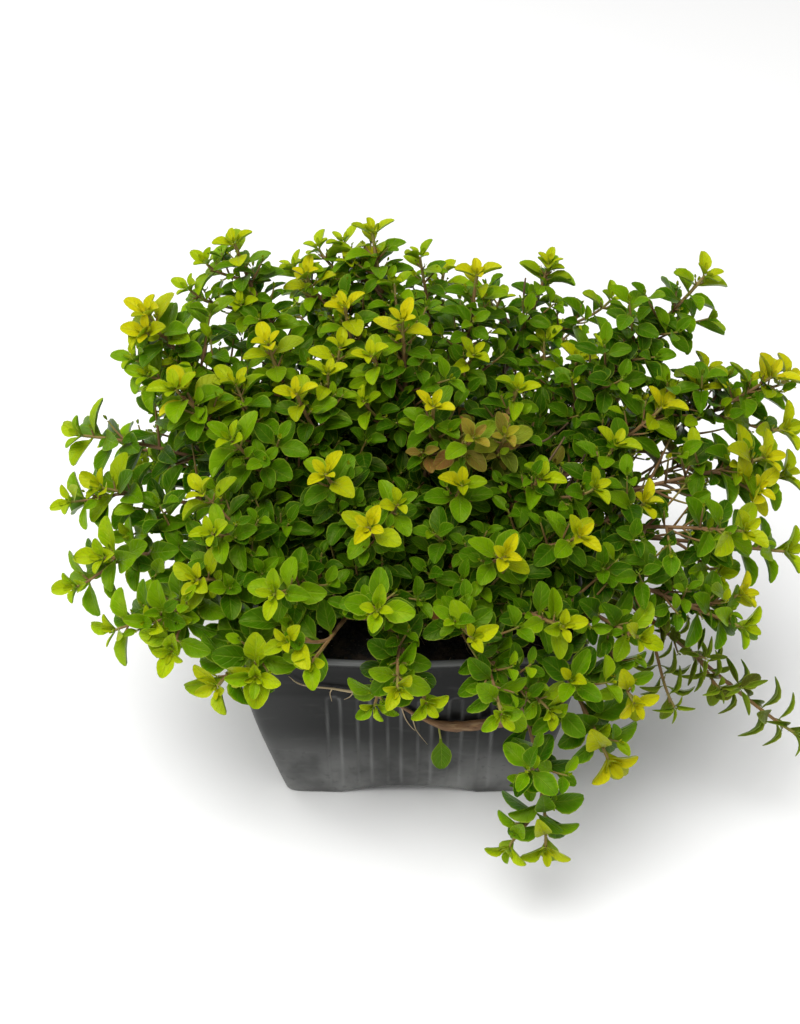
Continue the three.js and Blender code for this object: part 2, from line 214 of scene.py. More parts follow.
class Wiring:
    """Short calls that place and join the nodes of one node tree."""

    def __init__(self, tree: bpy.types.NodeTree) -> None:
        """Keeps the tree that the nodes go into."""
        self.tree = tree

    def feed(self, socket: bpy.types.NodeSocket, value: object) -> None:
        """Links a socket to another, or sets its value.

        Args:
            socket: The input socket.
            value: The output socket to link, or a plain value.
        """
        if isinstance(value, bpy.types.NodeSocket):
            self.tree.links.new(value, socket)
        else:
            socket.default_value = value

    def add(self, kind: str, inputs: dict | None = None, **settings: object) -> bpy.types.Node:
        """Places a node.

        Args:
            kind: The node's type name.
            inputs: Values or sockets for its inputs, by name or number.
            settings: The node's own properties.

        Returns:
            The node.
        """
        node = self.tree.nodes.new(kind)
        for key, value in settings.items():
            setattr(node, key, value)
        for key, value in (inputs or {}).items():
            self.feed(node.inputs[key], value)
        return node

    def math(self, operation: str, a: object, b: object = 0.0, clamp: bool = False) -> bpy.types.NodeSocket:
        """Joins two values by a Math node.

        Args:
            operation: The Math node's operation.
            a: The first value or socket.
            b: The second one.
            clamp: Whether to keep the result between 0 and 1.

        Returns:
            The result's socket.
        """
        node = self.add("ShaderNodeMath", {0: a, 1: b}, operation=operation, use_clamp=clamp)
        return node.outputs[0]

    def mix(self, share: object, a: object, b: object) -> bpy.types.NodeSocket:
        """Mixes two colours.

        Args:
            share: How much of the second colour, from 0 to 1.
            a: The first colour, or its socket.
            b: The second one.

        Returns:
            The mixed colour's socket.
        """
        a, b = (tone if isinstance(tone, bpy.types.NodeSocket) else (*tone, 1.0) for tone in (a, b))
        return self.add("ShaderNodeMix", {0: share, 6: a, 7: b}, data_type="RGBA").outputs[2]

    def paint(self, under: object, over: object, mask: object, strength: float) -> bpy.types.NodeSocket:
        """Lays one colour over another where a mask is.

        Args:
            under: The colour below, or its socket.
            over: The colour laid over it.
            mask: The mask's socket.
            strength: How much of the upper colour shows where the mask is 1.

        Returns:
            The mixed colour's socket.
        """
        return self.mix(self.math("MULTIPLY", mask, strength), under, over)

    def step(
        self, value: object, low: float, high: float, start: float = 0.0, end: float = 1.0
    ) -> bpy.types.NodeSocket:
        """Passes a value through a smooth step.

        Args:
            value: The value's socket.
            low: Where the step starts.
            high: Where it ends.
            start: What comes out below it.
            end: What comes out above it.

        Returns:
            The stepped value's socket.
        """
        node = self.add(
            "ShaderNodeMapRange",
            {"Value": value, "From Min": low, "From Max": high, "To Min": start, "To Max": end},
            interpolation_type="SMOOTHSTEP",
        )
        return node.outputs["Result"]

    def place(self) -> bpy.types.NodeSocket:
        """The place on the piece, in metres."""
        return self.add("ShaderNodeTexCoord").outputs["Object"]

    def noise(
        self, place: object, scale: object, detail: float, stretch: Sequence[float] = (1, 1, 1)
    ) -> bpy.types.NodeSocket:
        """A noise that stays with the piece.

        Args:
            place: The socket of the place it is read at.
            scale: Waves in one unit of the place.
            detail: Octaves of finer noise.
            stretch: How much closer the waves lie along each axis.

        Returns:
            The noise's value socket.
        """
        if tuple(stretch) != (1, 1, 1):
            place = self.add("ShaderNodeMapping", {"Vector": place, "Scale": tuple(stretch)}).outputs[0]
        made = self.add("ShaderNodeTexNoise", {"Vector": place, "Scale": scale, "Detail": detail})
        return made.outputs["Fac"]

    def ramp(self, value: object, stops: Sequence[tuple[float, Sequence[float]]]) -> bpy.types.NodeSocket:
        """Turns a value into a colour.

        Args:
            value: The value's socket.
            stops: Places from 0 to 1 with their colours.

        Returns:
            The colour's socket.
        """
        node = self.add("ShaderNodeValToRGB", {"Fac": value})
        stack = node.color_ramp.elements
        while len(stack) < len(stops):
            stack.new(0.5)
        for element, (place, colour) in zip(stack, stops):
            element.position = place
            element.color = (*colour, 1.0)
        return node.outputs["Color"]

    def attribute(self, name: str) -> bpy.types.NodeSocket:
        """The value of one of the mesh's own attributes."""
        return self.add("ShaderNodeAttribute", attribute_name=name).outputs["Fac"]

    def mottle(self, scale: float, contrast: float) -> tuple[bpy.types.NodeSocket, bpy.types.NodeSocket]:
        """Places the mottle effect.

        Args:
            scale: Patches in a metre.
            contrast: How far the patches differ.

        Returns:
            The sockets of its patches and of its specks.
        """
        group = self.add("ShaderNodeGroup", {"Scale": scale, "Contrast": contrast}, node_tree=mottle_group())
        return group.outputs["Patch"], group.outputs["Speck"]


def effect_group(
    name: str, inputs: dict[str, float], outputs: Sequence[str]
) -> tuple[bpy.types.NodeTree, Wiring]:
    """Starts a node group for an effect that several materials use.

    Args:
        name: The group's name.
        inputs: Its value inputs with their defaults.
        outputs: The names of its value outputs.

    Returns:
        The group and its wiring.
    """
    tree = bpy.data.node_groups.new(name, "ShaderNodeTree")
    for key, value in inputs.items():
        socket = tree.interface.new_socket(name=key, in_out="INPUT", socket_type="NodeSocketFloat")
        socket.default_value = value
    for key in outputs:
        tree.interface.new_socket(name=key, in_out="OUTPUT", socket_type="NodeSocketFloat")
    return tree, Wiring(tree)


def mottle_group() -> bpy.types.NodeTree:
    """Uneven patches with finer specks in them, for leaves, stems, plastic and mix alike.

    Returns:
        The group, with the inputs Scale and Contrast and the outputs Patch and Speck.
    """
    found = bpy.data.node_groups.get("mottle")
    if found:
        return found
    tree, wiring = effect_group("mottle", {"Scale": 200.0, "Contrast": 1.0}, ("Patch", "Speck"))
    given = wiring.add("NodeGroupInput")
    place = wiring.place()
    coarse = wiring.noise(place, given.outputs["Scale"], 4.0)
    specks = wiring.noise(place, wiring.math("MULTIPLY", given.outputs["Scale"], 9.0), 2.0)
    spread = wiring.math("MULTIPLY", wiring.math("SUBTRACT", coarse, 0.5), given.outputs["Contrast"])
    patch = wiring.math("ADD", spread, 0.5, clamp=True)
    wiring.add("NodeGroupOutput", {"Patch": patch, "Speck": wiring.step(specks, 0.60, 0.72)})
    return tree


def blade_lines_group() -> bpy.types.NodeTree:
    """The drawing of a leaf on its own UV map: midrib, side veins and margin.

    Returns:
        The group, with the outputs Midrib, Vein, Margin and Foot.
    """
    tree, wiring = effect_group("blade_lines", {}, ("Midrib", "Vein", "Margin", "Foot"))
    uv = wiring.add("ShaderNodeUVMap", uv_map="blade")
    split = wiring.add("ShaderNodeSeparateXYZ", {0: uv.outputs[0]})
    along, across = split.outputs[0], split.outputs[1]
    centred = wiring.math("ABSOLUTE", wiring.math("SUBTRACT", across, 0.5))
    rising = wiring.math("SUBTRACT", along, wiring.math("MULTIPLY", centred, 0.55))
    waves = wiring.math("SINE", wiring.math("MULTIPLY", rising, 40.0))
    inside = wiring.step(centred, 0.40, 0.47, 1.0, 0.0)
    lines = {
        "Midrib": wiring.step(centred, 0.012, 0.05, 1.0, 0.0),
        "Vein": wiring.math("MULTIPLY", wiring.step(waves, 0.72, 1.0), inside),
        "Margin": wiring.step(centred, 0.43, 0.49),
        "Foot": wiring.step(along, 0.10, 0.42, 1.0, 0.0),
    }
    wiring.add("NodeGroupOutput", lines)
    return tree


def new_material(name: str) -> tuple[bpy.types.Material, Wiring, bpy.types.Node]:
    """Starts a material with an empty Principled shader.

    Args:
        name: The material's name.

    Returns:
        The material, its wiring and the shader.
    """
    material = bpy.data.materials.new(name)
    material.use_nodes = True
    material.node_tree.nodes.clear()
    wiring = Wiring(material.node_tree)
    shader = wiring.add("ShaderNodeBsdfPrincipled")
    wiring.add("ShaderNodeOutputMaterial", {"Surface": shader.outputs[0]})
    return material, wiring, shader


def dress(
    wiring: Wiring,
    shader: bpy.types.Node,
    tone: object,
    rough: object,
    plain: dict[str, object] | None = None,
) -> None:
    """Feeds a shader its colour and roughness, and sets what is the same all over.

    Args:
        wiring: The material's wiring.
        shader: Its shader.
        tone: The colour's socket.
        rough: The roughness's socket, or a plain value.
        plain: Values for other inputs, by name.
    """
    wiring.feed(shader.inputs["Base Color"], tone)
    wiring.feed(shader.inputs["Roughness"], rough)
    for key, value in (plain or {}).items():
        shader.inputs[key].default_value = value


def set_bump(wiring: Wiring, shader: bpy.types.Node, height: object, strength: float, depth: float) -> None:
    """Feeds a height to the shader's normal.

    Args:
        wiring: The material's wiring.
        shader: Its shader.
        height: The height's socket.
        strength: The Bump node's strength.
        depth: The height of a full step, in metres.
    """
    bump = wiring.add("ShaderNodeBump", {"Height": height, "Strength": strength, "Distance": depth})
    wiring.feed(shader.inputs["Normal"], bump.outputs[0])


# --- Finishes ---------------------------------------------------------------------------------------


@dataclass(frozen=True)
class LeafFinish:
    """Thin satin leaves whose green turns from dark to lime with youth and with less painted shade, and to
    gold where it is tinted.
    """

    roughness: float = 0.34
    glow: float = 0.20  # light that comes through a thin blade
    greens: tuple[tuple[float, Colour], ...] = (  # from the oldest leaves and those darkened by painted shade to the youngest
        (0.00, (0.008, 0.036, 0.0006)),
        (0.30, (0.024, 0.080, 0.0007)),
        (0.55, (0.064, 0.154, 0.0009)),
        (0.80, (0.146, 0.264, 0.0012)),
        (1.00, (0.290, 0.372, 0.0018)),
    )
    gold: Colour = (0.54, 0.46, 0.003)
    russet: Colour = (0.22, 0.080, 0.028)
    underside: Colour = (0.10, 0.17, 0.02)
    margin: Colour = (0.30, 0.42, 0.03)
    foot: Colour = (0.20, 0.24, 0.012)
    speck: Colour = (0.02, 0.05, 0.003)

    def make(self) -> bpy.types.Material:
        """Makes the material.

        Returns:
            The finished material.
        """
        material, wiring, shader = new_material("thyme_leaf")
        lines = wiring.add("ShaderNodeGroup", node_tree=blade_lines_group()).outputs
        mottle, specks = wiring.mottle(420.0, 1.6)
        patch = wiring.math("SUBTRACT", mottle, 0.5)
        seed = wiring.math("MULTIPLY", wiring.attribute("seed"), 0.14)
        drift = wiring.math("ADD", wiring.math("MULTIPLY", patch, 0.16), seed)
        # The leaves' age value also holds painted shade, which darkens the green of leaves deep in the plant.
        tone = wiring.ramp(wiring.math("ADD", wiring.attribute("age"), drift, clamp=True), self.greens)
        tone = wiring.mix(wiring.attribute("gold"), tone, self.gold)
        tone = wiring.mix(wiring.attribute("russet"), tone, self.russet)
        tone = wiring.paint(tone, self.underside, wiring.attribute("under"), 0.35)
        pale = wiring.mix(0.6, tone, self.margin)
        for line, strength in (("Midrib", 0.26), ("Vein", 0.12), ("Margin", 0.70)):
            tone = wiring.paint(tone, pale, lines[line], strength)
        tone = wiring.paint(tone, self.foot, lines["Foot"], 0.26)
        tone = wiring.paint(tone, self.speck, specks, 0.18)
        rough = wiring.math("ADD", wiring.math("MULTIPLY", patch, 0.18), self.roughness)
        plain = {
            "Subsurface Weight": self.glow,
            "Subsurface Radius": (0.5, 1.0, 0.15),
            "Subsurface Scale": 0.0012,
            "Specular IOR Level": 0.16,
            "Specular Tint": (0.95, 1.0, 0.28, 1.0),
        }
        dress(wiring, shader, tone, rough, plain)
        ridges = wiring.math("ADD", lines["Vein"], wiring.math("MULTIPLY", lines["Midrib"], 1.6))
        height = wiring.math("SUBTRACT", wiring.math("MULTIPLY", patch, 1.5), ridges)
        set_bump(wiring, shader, height, 0.70, 0.00010)
        return material


@dataclass(frozen=True)
class StemFinish:
    """Woody brown stems that turn green and reddish towards their tips."""

    roughness: float = 0.6
    barks: tuple[tuple[float, Colour], ...] = (  # from old wood to the tip
        (0.00, (0.105, 0.066, 0.034)),
        (0.40, (0.185, 0.098, 0.045)),
        (0.72, (0.235, 0.130, 0.040)),
        (1.00, (0.220, 0.230, 0.030)),
    )
    streak: Colour = (0.32, 0.22, 0.11)
    crack: Colour = (0.050, 0.026, 0.014)
    root: Colour = (0.42, 0.33, 0.19)
    strip: tuple[float, float, float] = (0.28, 11.0, 1.0)  # strips of bark along and round the stem

    def make(self) -> bpy.types.Material:
        """Makes the material.

        Returns:
            The finished material.
        """
        material, wiring, shader = new_material("thyme_stem")
        patch = wiring.math("SUBTRACT", wiring.mottle(380.0, 2.0)[0], 0.5)
        age = wiring.math("ADD", wiring.attribute("age"), wiring.math("MULTIPLY", patch, 0.35), clamp=True)
        unrolled = wiring.add("ShaderNodeUVMap", uv_map="blade").outputs[0]
        rind = wiring.noise(unrolled, 1.0, 4.0, self.strip)
        tone = wiring.paint(wiring.ramp(age, self.barks), self.streak, wiring.step(rind, 0.50, 0.64), 0.55)
        tone = wiring.paint(tone, self.crack, wiring.step(rind, 0.36, 0.44, 1.0, 0.0), 0.6)
        tone = wiring.mix(wiring.attribute("seed"), tone, self.root)
        rough = wiring.math("ADD", wiring.math("MULTIPLY", patch, 0.2), self.roughness)
        dress(wiring, shader, tone, rough, {"Specular IOR Level": 0.3})
        set_bump(wiring, shader, rind, 0.7, 0.00020)
        return material


@dataclass(frozen=True)
class PotPlastic:
    """Thin formed sheet, dark grey and satin, with dust on the lower wall and painted highlights on the lip,
    flute ridges and corners.
    """

    colour: Colour = (0.0050, 0.0055, 0.0053)
    dust: Colour = (0.215, 0.217, 0.210)
    # The grey of the painted highlights.
    highlight_grey: Colour = (0.23, 0.235, 0.23)
    speck: Colour = (0.02, 0.02, 0.019)
    roughness: float = 0.35
    dust_level: float = 0.034  # metres up the wall

    def make(self) -> bpy.types.Material:
        """Makes the material.

        Returns:
            The finished material.
        """
        material, wiring, shader = new_material("pot_plastic")
        mottle, specks = wiring.mottle(55.0, 2.2)
        place = wiring.place()
        height = wiring.add("ShaderNodeSeparateXYZ", {0: place}).outputs[2]
        low = wiring.step(height, 0.000, self.dust_level, 1.0, 0.0)
        dust = wiring.math("MULTIPLY", wiring.step(mottle, 0.15, 0.80, 0.30, 1.0), low)
        smears = wiring.step(wiring.noise(place, 70.0, 4.0, (1, 1, 5)), 0.55, 0.75)
        dust, smears = wiring.math("MULTIPLY", dust, 0.95), wiring.math("MULTIPLY", smears, 0.07)
        veil = wiring.math("ADD", dust, smears, clamp=True)
        tone = wiring.mix(veil, self.colour, self.dust)
        # Painted highlights on the lip, flute ridges and corners, as press() marks them.
        tone = wiring.paint(tone, self.highlight_grey, wiring.attribute("painted_highlight"), 0.85)
        tone = wiring.paint(tone, self.speck, specks, 0.25)
        rough = wiring.math("ADD", wiring.math("MULTIPLY", veil, 0.35), self.roughness)
        plain = {"Specular IOR Level": 0.15, "Sheen Weight": 0.05, "Sheen Roughness": 0.35}
        dress(wiring, shader, tone, rough, plain)
        set_bump(wiring, shader, wiring.noise(place, 260.0, 3.0, (1, 1, 0.4)), 0.25, 0.0002)
        return material


@dataclass(frozen=True)
class MixFinish:
    """Damp potting mix, nearly black with brown bits."""

    dark: Colour = (0.017, 0.016, 0.015)
    brown: Colour = (0.070, 0.050, 0.036)
    speck: Colour = (0.13, 0.11, 0.09)

    def make(self) -> bpy.types.Material:
        """Makes the material.

        Returns:
            The finished material.
        """
        material, wiring, shader = new_material("potting_mix")
        mottle, specks = wiring.mottle(260.0, 2.4)
        tone = wiring.mix(wiring.step(mottle, 0.45, 0.8), self.dark, self.brown)
        tone = wiring.paint(tone, self.speck, specks, 0.6)
        dress(wiring, shader, tone, wiring.step(mottle, 0.3, 0.7, 0.75, 1.0))
        set_bump(wiring, shader, wiring.noise(wiring.place(), 900.0, 5.0), 0.9, 0.0006)
        return material


@dataclass(frozen=True)
class CrumbFinish:
    """A dry crumb, chip or fibre in one tone, with a grain of its own."""

    name: str
    light: Colour
    dark: Colour

    def make(self) -> bpy.types.Material:
        """Makes the material.

        Returns:
            The finished material.
        """
        material, wiring, shader = new_material(self.name)
        mottle = wiring.mottle(700.0, 2.2)[0]
        tone = wiring.mix(mottle, self.dark, self.light)
        dress(wiring, shader, tone, wiring.step(mottle, 0.2, 0.8, 0.6, 0.95))
        set_bump(wiring, shader, mottle, 0.6, 0.0003)
        return material


# --- Pot --------------------------------------------------------------------------------------------


@dataclass
class Pot:
    """The thin square pot: rolled lip, plain band, fluted sides, and an underside raised in a cross."""

    node: str = "pot"
    points: int = 800  # round the plan
    squareness: float = 20.0
    side_bow: float = 0.03
    belly: float = 0.6
    foot_half: float = 35.2
    foot_edge: float = 1.4
    band_half: float = 43.8
    band_height: float = 46.0
    lip_foot: float = 57.5  # the band ends here, under the lip
    flute_count: int = 6
    flute_pitch: float = 8.0
    flute_half_width: float = 2.0
    flute_depth: float = 0.62
    fluted_half: float = 24.0  # half the width of a side's fluted zone
    arch_width: float = 38.0
    arch_rise: float = 3.6
    drain_radius: float = 2.5
    drain_offset: float = 23.0
    unevenness: float = 0.22
    wall_rings: int = 36
    under_shares: tuple[float, ...] = (0.06, 0.16, 0.28, 0.40, 0.50, 0.60, 0.70, 0.79, 0.87, 0.93)
    foot_rounding: tuple[tuple[float, float], ...] = ((1.3, 0.0), (0.7, 0.12), (0.25, 0.5), (0.0, 1.4))
    band_and_lip: tuple[tuple[float, float], ...] = (  # half widths and heights, up and over the lip
        *((43.8, 46.7), (43.87, 48.6), (43.95, 51.5), (44.05, 54.5), (44.15, 57.2)),
        *((44.35, 57.9), (44.95, 58.15), (45.4, 58.4), (45.6, 58.85), (45.6, 59.35), (45.4, 59.8)),
        *((45.0, 60.0), (44.4, 60.0), (43.95, 59.8), (43.6, 59.4), (43.4, 58.6)),
    )
    inside: tuple[tuple[float, float], ...] = (  # half widths and heights, down to the middle of the floor
        *((43.1, 56.0), (42.9, 52.5), (42.7, 47.0), (42.7, 46.0), (40.7, 35.5), (37.8, 20.0), (34.9, 5.0)),
        *((34.0, 3.0), (30.0, 1.9), (18.0, 1.2), (6.0, 1.2)),
    )
    finish: PotPlastic = field(default_factory=PotPlastic)

    def profile(self) -> list[tuple[float, float]]:
        """Half width and height of each ring, from the middle of the underside out, up and back inside.

        Returns:
            The rings' half widths and heights, in millimetres.
        """
        rings = [(self.foot_half * share, 0.0) for share in self.under_shares]
        rings += [(self.foot_half - inward, level) for inward, level in self.foot_rounding]
        for k in range(1, self.wall_rings + 1):
            level = self.foot_edge + (self.band_height - self.foot_edge) * (k / self.wall_rings)
            rings.append((self.wall_half(level), level))
        rings += [*self.band_and_lip, *self.inside]
        return rings

    def wall_half(self, level: float) -> float:
        """The half width of the wall's outer face at a height, with the slight belly of thin sheet.

        Args:
            level: The height, in millimetres.

        Returns:
            The half width.
        """
        share = min(1.0, max(0.0, (level - self.foot_edge) / (self.band_height - self.foot_edge)))
        belly = self.belly * math.sin(math.pi * share)
        return self.foot_half + (self.band_half - self.foot_half) * share + belly

    def plan(self) -> np.ndarray:
        """The plan of half width 1 as points that stand evenly round it.

        Returns:
            One row of x and y for each point.
        """
        angle = np.linspace(0, 2 * math.pi, 20001)
        cosine, sine = np.abs(np.cos(angle)), np.abs(np.sin(angle))
        square = (cosine**self.squareness + sine**self.squareness) ** (-1 / self.squareness)
        radius = square * (1 + self.side_bow * np.cos(2 * angle) ** 2)
        curve = np.stack([radius * np.cos(angle), radius * np.sin(angle)], axis=1)
        steps = np.concatenate([[0], np.cumsum(np.linalg.norm(np.diff(curve, axis=0), axis=1))])
        wanted = np.linspace(0, steps[-1], self.points, endpoint=False)
        return np.stack([np.interp(wanted, steps, curve[:, k]) for k in (0, 1)], axis=1)

    def front(self, across: float, level: float) -> float:
        """Where the front wall's outer face stands at a place on it.

        Args:
            across: The place from the pot's middle, in millimetres.
            level: Its height.

        Returns:
            Its place from front to back, below 0.
        """
        half = self.wall_half(level)
        return -half * (1 + self.side_bow * math.cos(2 * math.atan2(half, abs(across))) ** 2)

    def arch(self, place: np.ndarray) -> np.ndarray:
        """How far the raised cross lifts the underside at a distance from its middle line.

        Args:
            place: Distances across the cross's arm, in millimetres.

        Returns:
            The lift, in millimetres.
        """
        half = self.arch_width / 2
        radius = (half**2 + self.arch_rise**2) / (2 * self.arch_rise)
        lift = self.arch_rise - radius + np.sqrt(np.clip(radius**2 - place**2, 0, None))
        return np.where(np.abs(place) < half, np.clip(lift, 0, None), 0.0)

    def flute(self, along: np.ndarray, level: np.ndarray) -> np.ndarray:
        """How deep the flutes press into a side, from 0 to 1.

        Args:
            along: The place along the side, in millimetres at the band.
            level: The height, in millimetres.

        Returns:
            The depth's share.
        """
        deepest = np.zeros_like(along)
        top = self.band_height - self.flute_half_width
        for k in range(self.flute_count):
            middle = (k - (self.flute_count - 1) / 2) * self.flute_pitch
            above = np.clip(level - top, 0, None)
            distance = np.hypot(along - middle, above)
            share = 1 - smoothstep(self.flute_half_width - 0.9, self.flute_half_width + 0.4, distance)
            deepest = np.maximum(deepest, share)
        return deepest * smoothstep(1.0, 5.0, level)

    def build(self, centre: np.ndarray) -> bpy.types.Object:
        """Models the pot ring by ring and presses its plan, flutes and raised cross into it.

        Args:
            centre: The middle of the pot's foot, in metres.

        Returns:
            The finished pot.
        """
        rings = self.profile()
        deselect_everything()
        bpy.ops.mesh.primitive_circle_add(
            vertices=self.points, radius=rings[0][0] * MM, fill_type="NGON", location=(0, 0, 0)
        )
        pot = bpy.context.object
        pot.name = "formed_pot"
        bpy.ops.object.mode_set(mode="EDIT")
        bpy.ops.mesh.flip_normals()
        bpy.ops.mesh.select_all(action="SELECT")
        bpy.ops.mesh.delete(type="ONLY_FACE")
        bpy.ops.mesh.select_all(action="SELECT")
        for nearer, further in zip(rings, rings[1:]):
            rise = (further[1] - nearer[1]) * MM
            bpy.ops.mesh.extrude_edges_move(TRANSFORM_OT_translate={"value": (0, 0, rise)})
            share = further[0] / nearer[0]
            bpy.ops.transform.resize(value=(share, share, 1), center_override=(0, 0, further[1] * MM))
        bpy.ops.mesh.edge_face_add()
        bpy.ops.mesh.poke()
        select_vertices(pot, lambda place, number: number < self.points)
        bpy.ops.mesh.edge_face_add()
        bpy.ops.mesh.poke()
        bpy.ops.mesh.select_all(action="SELECT")
        bpy.ops.mesh.normals_make_consistent(inside=False)
        bpy.ops.object.mode_set(mode="OBJECT")
        self.press(pot, centre)
        self.drill(pot, centre)
        make_active(pot)
        bpy.ops.object.shade_smooth_by_angle(angle=math.radians(50))
        pot.data.materials.clear()
        pot.data.materials.append(self.finish.make())
        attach(pot, "root")
        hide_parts(self.node)
        return pot

    def press(self, pot: bpy.types.Object, centre: np.ndarray) -> None:
        """Moves the round shell's points to the square plan, the flutes and the raised cross.

        Args:
            pot: The shell, still round.
            centre: The middle of the pot's foot, in metres.
        """
        count = len(pot.data.vertices)
        place = np.empty(count * 3)
        pot.data.vertices.foreach_get("co", place)
        place = place.reshape(-1, 3) / MM
        half = np.hypot(place[:, 0], place[:, 1])
        turn = np.mod(np.arctan2(place[:, 1], place[:, 0]), 2 * math.pi)
        plan = self.plan()
        share = turn / (2 * math.pi) * self.points
        lower = np.floor(share + 1e-6).astype(int)
        part = np.clip(share - lower, 0, 1)[:, None]
        spread = plan[lower % self.points] * (1 - part) + plan[(lower + 1) % self.points] * part
        x, y, z = spread[:, 0] * half, spread[:, 1] * half, place[:, 2].copy()
        outside = self.is_outside(half, z)
        facing_y = np.abs(y) > np.abs(x)
        along = np.where(facing_y, x, y)
        depth = self.flute(along, z) * self.flute_depth * (z < self.band_height + 0.3)
        wall = outside & (z > 0.9) & (z < self.lip_foot) & (np.abs(along) < self.fluted_half)
        depth = np.where(wall, depth, 0)
        x = np.where(wall & ~facing_y, x - np.sign(x) * depth, x)
        y = np.where(wall & facing_y, y - np.sign(y) * depth, y)
        wave = self.unevenness * np.sin(0.11 * x + 0.07 * z + 1.3) * np.cos(0.09 * y - 0.05 * z)
        wave = wave * smoothstep(3, 20, z)
        swell = np.where(np.abs(half) > 30, 1 - wave / np.maximum(half, 1), 1)
        x, y = x * swell, y * swell
        cross = np.maximum(self.arch(x), self.arch(y))
        near_floor = np.where(outside, np.clip(1 - z / 10, 0, 1), np.clip(1 - (z - 1.2) / 8, 0, 1))
        z = z + cross * near_floor
        # Painted highlights: a pale line on the lip's top, along the flute ridges and on the rounded corners.
        painted_highlight = np.where((half > 44.2) & (place[:, 2] > 59.2), 1.0, 0.0)
        ridge = np.where(wall, 4 * (depth / self.flute_depth) * (1 - depth / self.flute_depth), 0)
        corner = np.where(outside & (z < 57), smoothstep(22, 40, np.abs(along)), 0)
        edge = pot.data.attributes.new("painted_highlight", "FLOAT", "POINT")
        highlight_share = 0.8 * painted_highlight + 0.42 * ridge * (0.65 + 0.35 * np.sin(0.9 * along + 0.25 * z)) + 0.10 * corner
        edge.data.foreach_set("value", np.clip(highlight_share, 0, 1).astype(np.float32))
        moved = np.stack([x, y, z], axis=1) * MM + centre
        pot.data.vertices.foreach_set("co", moved.ravel())
        pot.data.update()

    def is_outside(self, half: np.ndarray, level: np.ndarray) -> np.ndarray:
        """Which points belong to the outer face, from the underside to the lip's top.

        Args:
            half: The points' half widths, in millimetres.
            level: Their heights.

        Returns:
            True for those outside.
        """
        share = np.clip((level - self.foot_edge) / (self.band_height - self.foot_edge), 0, None)
        middle_of_wall = self.foot_half + (self.band_half - self.foot_half) * np.minimum(share, 1) - 0.55
        middle_of_wall = np.where(level > self.band_height, 43.62, middle_of_wall)
        return np.where(level < 0.9, True, (half > middle_of_wall) & (level > 0.9))

    def drill(self, pot: bpy.types.Object, centre: np.ndarray) -> None:
        """Cuts the four drain holes through the raised cross.

        Args:
            pot: The pot.
            centre: The middle of its foot, in metres.
        """
        for x, y in ((0, -1), (1, 0), (0, 1), (-1, 0)):
            deselect_everything()
            place = Vector((x * self.drain_offset * MM, y * self.drain_offset * MM, 3 * MM)) + Vector(centre)
            bpy.ops.mesh.primitive_cylinder_add(
                vertices=28, radius=self.drain_radius * MM, depth=12 * MM, location=place
            )
            drill = bpy.context.object
            cut = pot.modifiers.new("drain", "BOOLEAN")
            cut.object, cut.operation, cut.solver = drill, "DIFFERENCE", "EXACT"
            apply_modifiers(pot)
            bpy.data.objects.remove(drill, do_unlink=True)


# --- Potting mix ------------------------------------------------------------------------------------


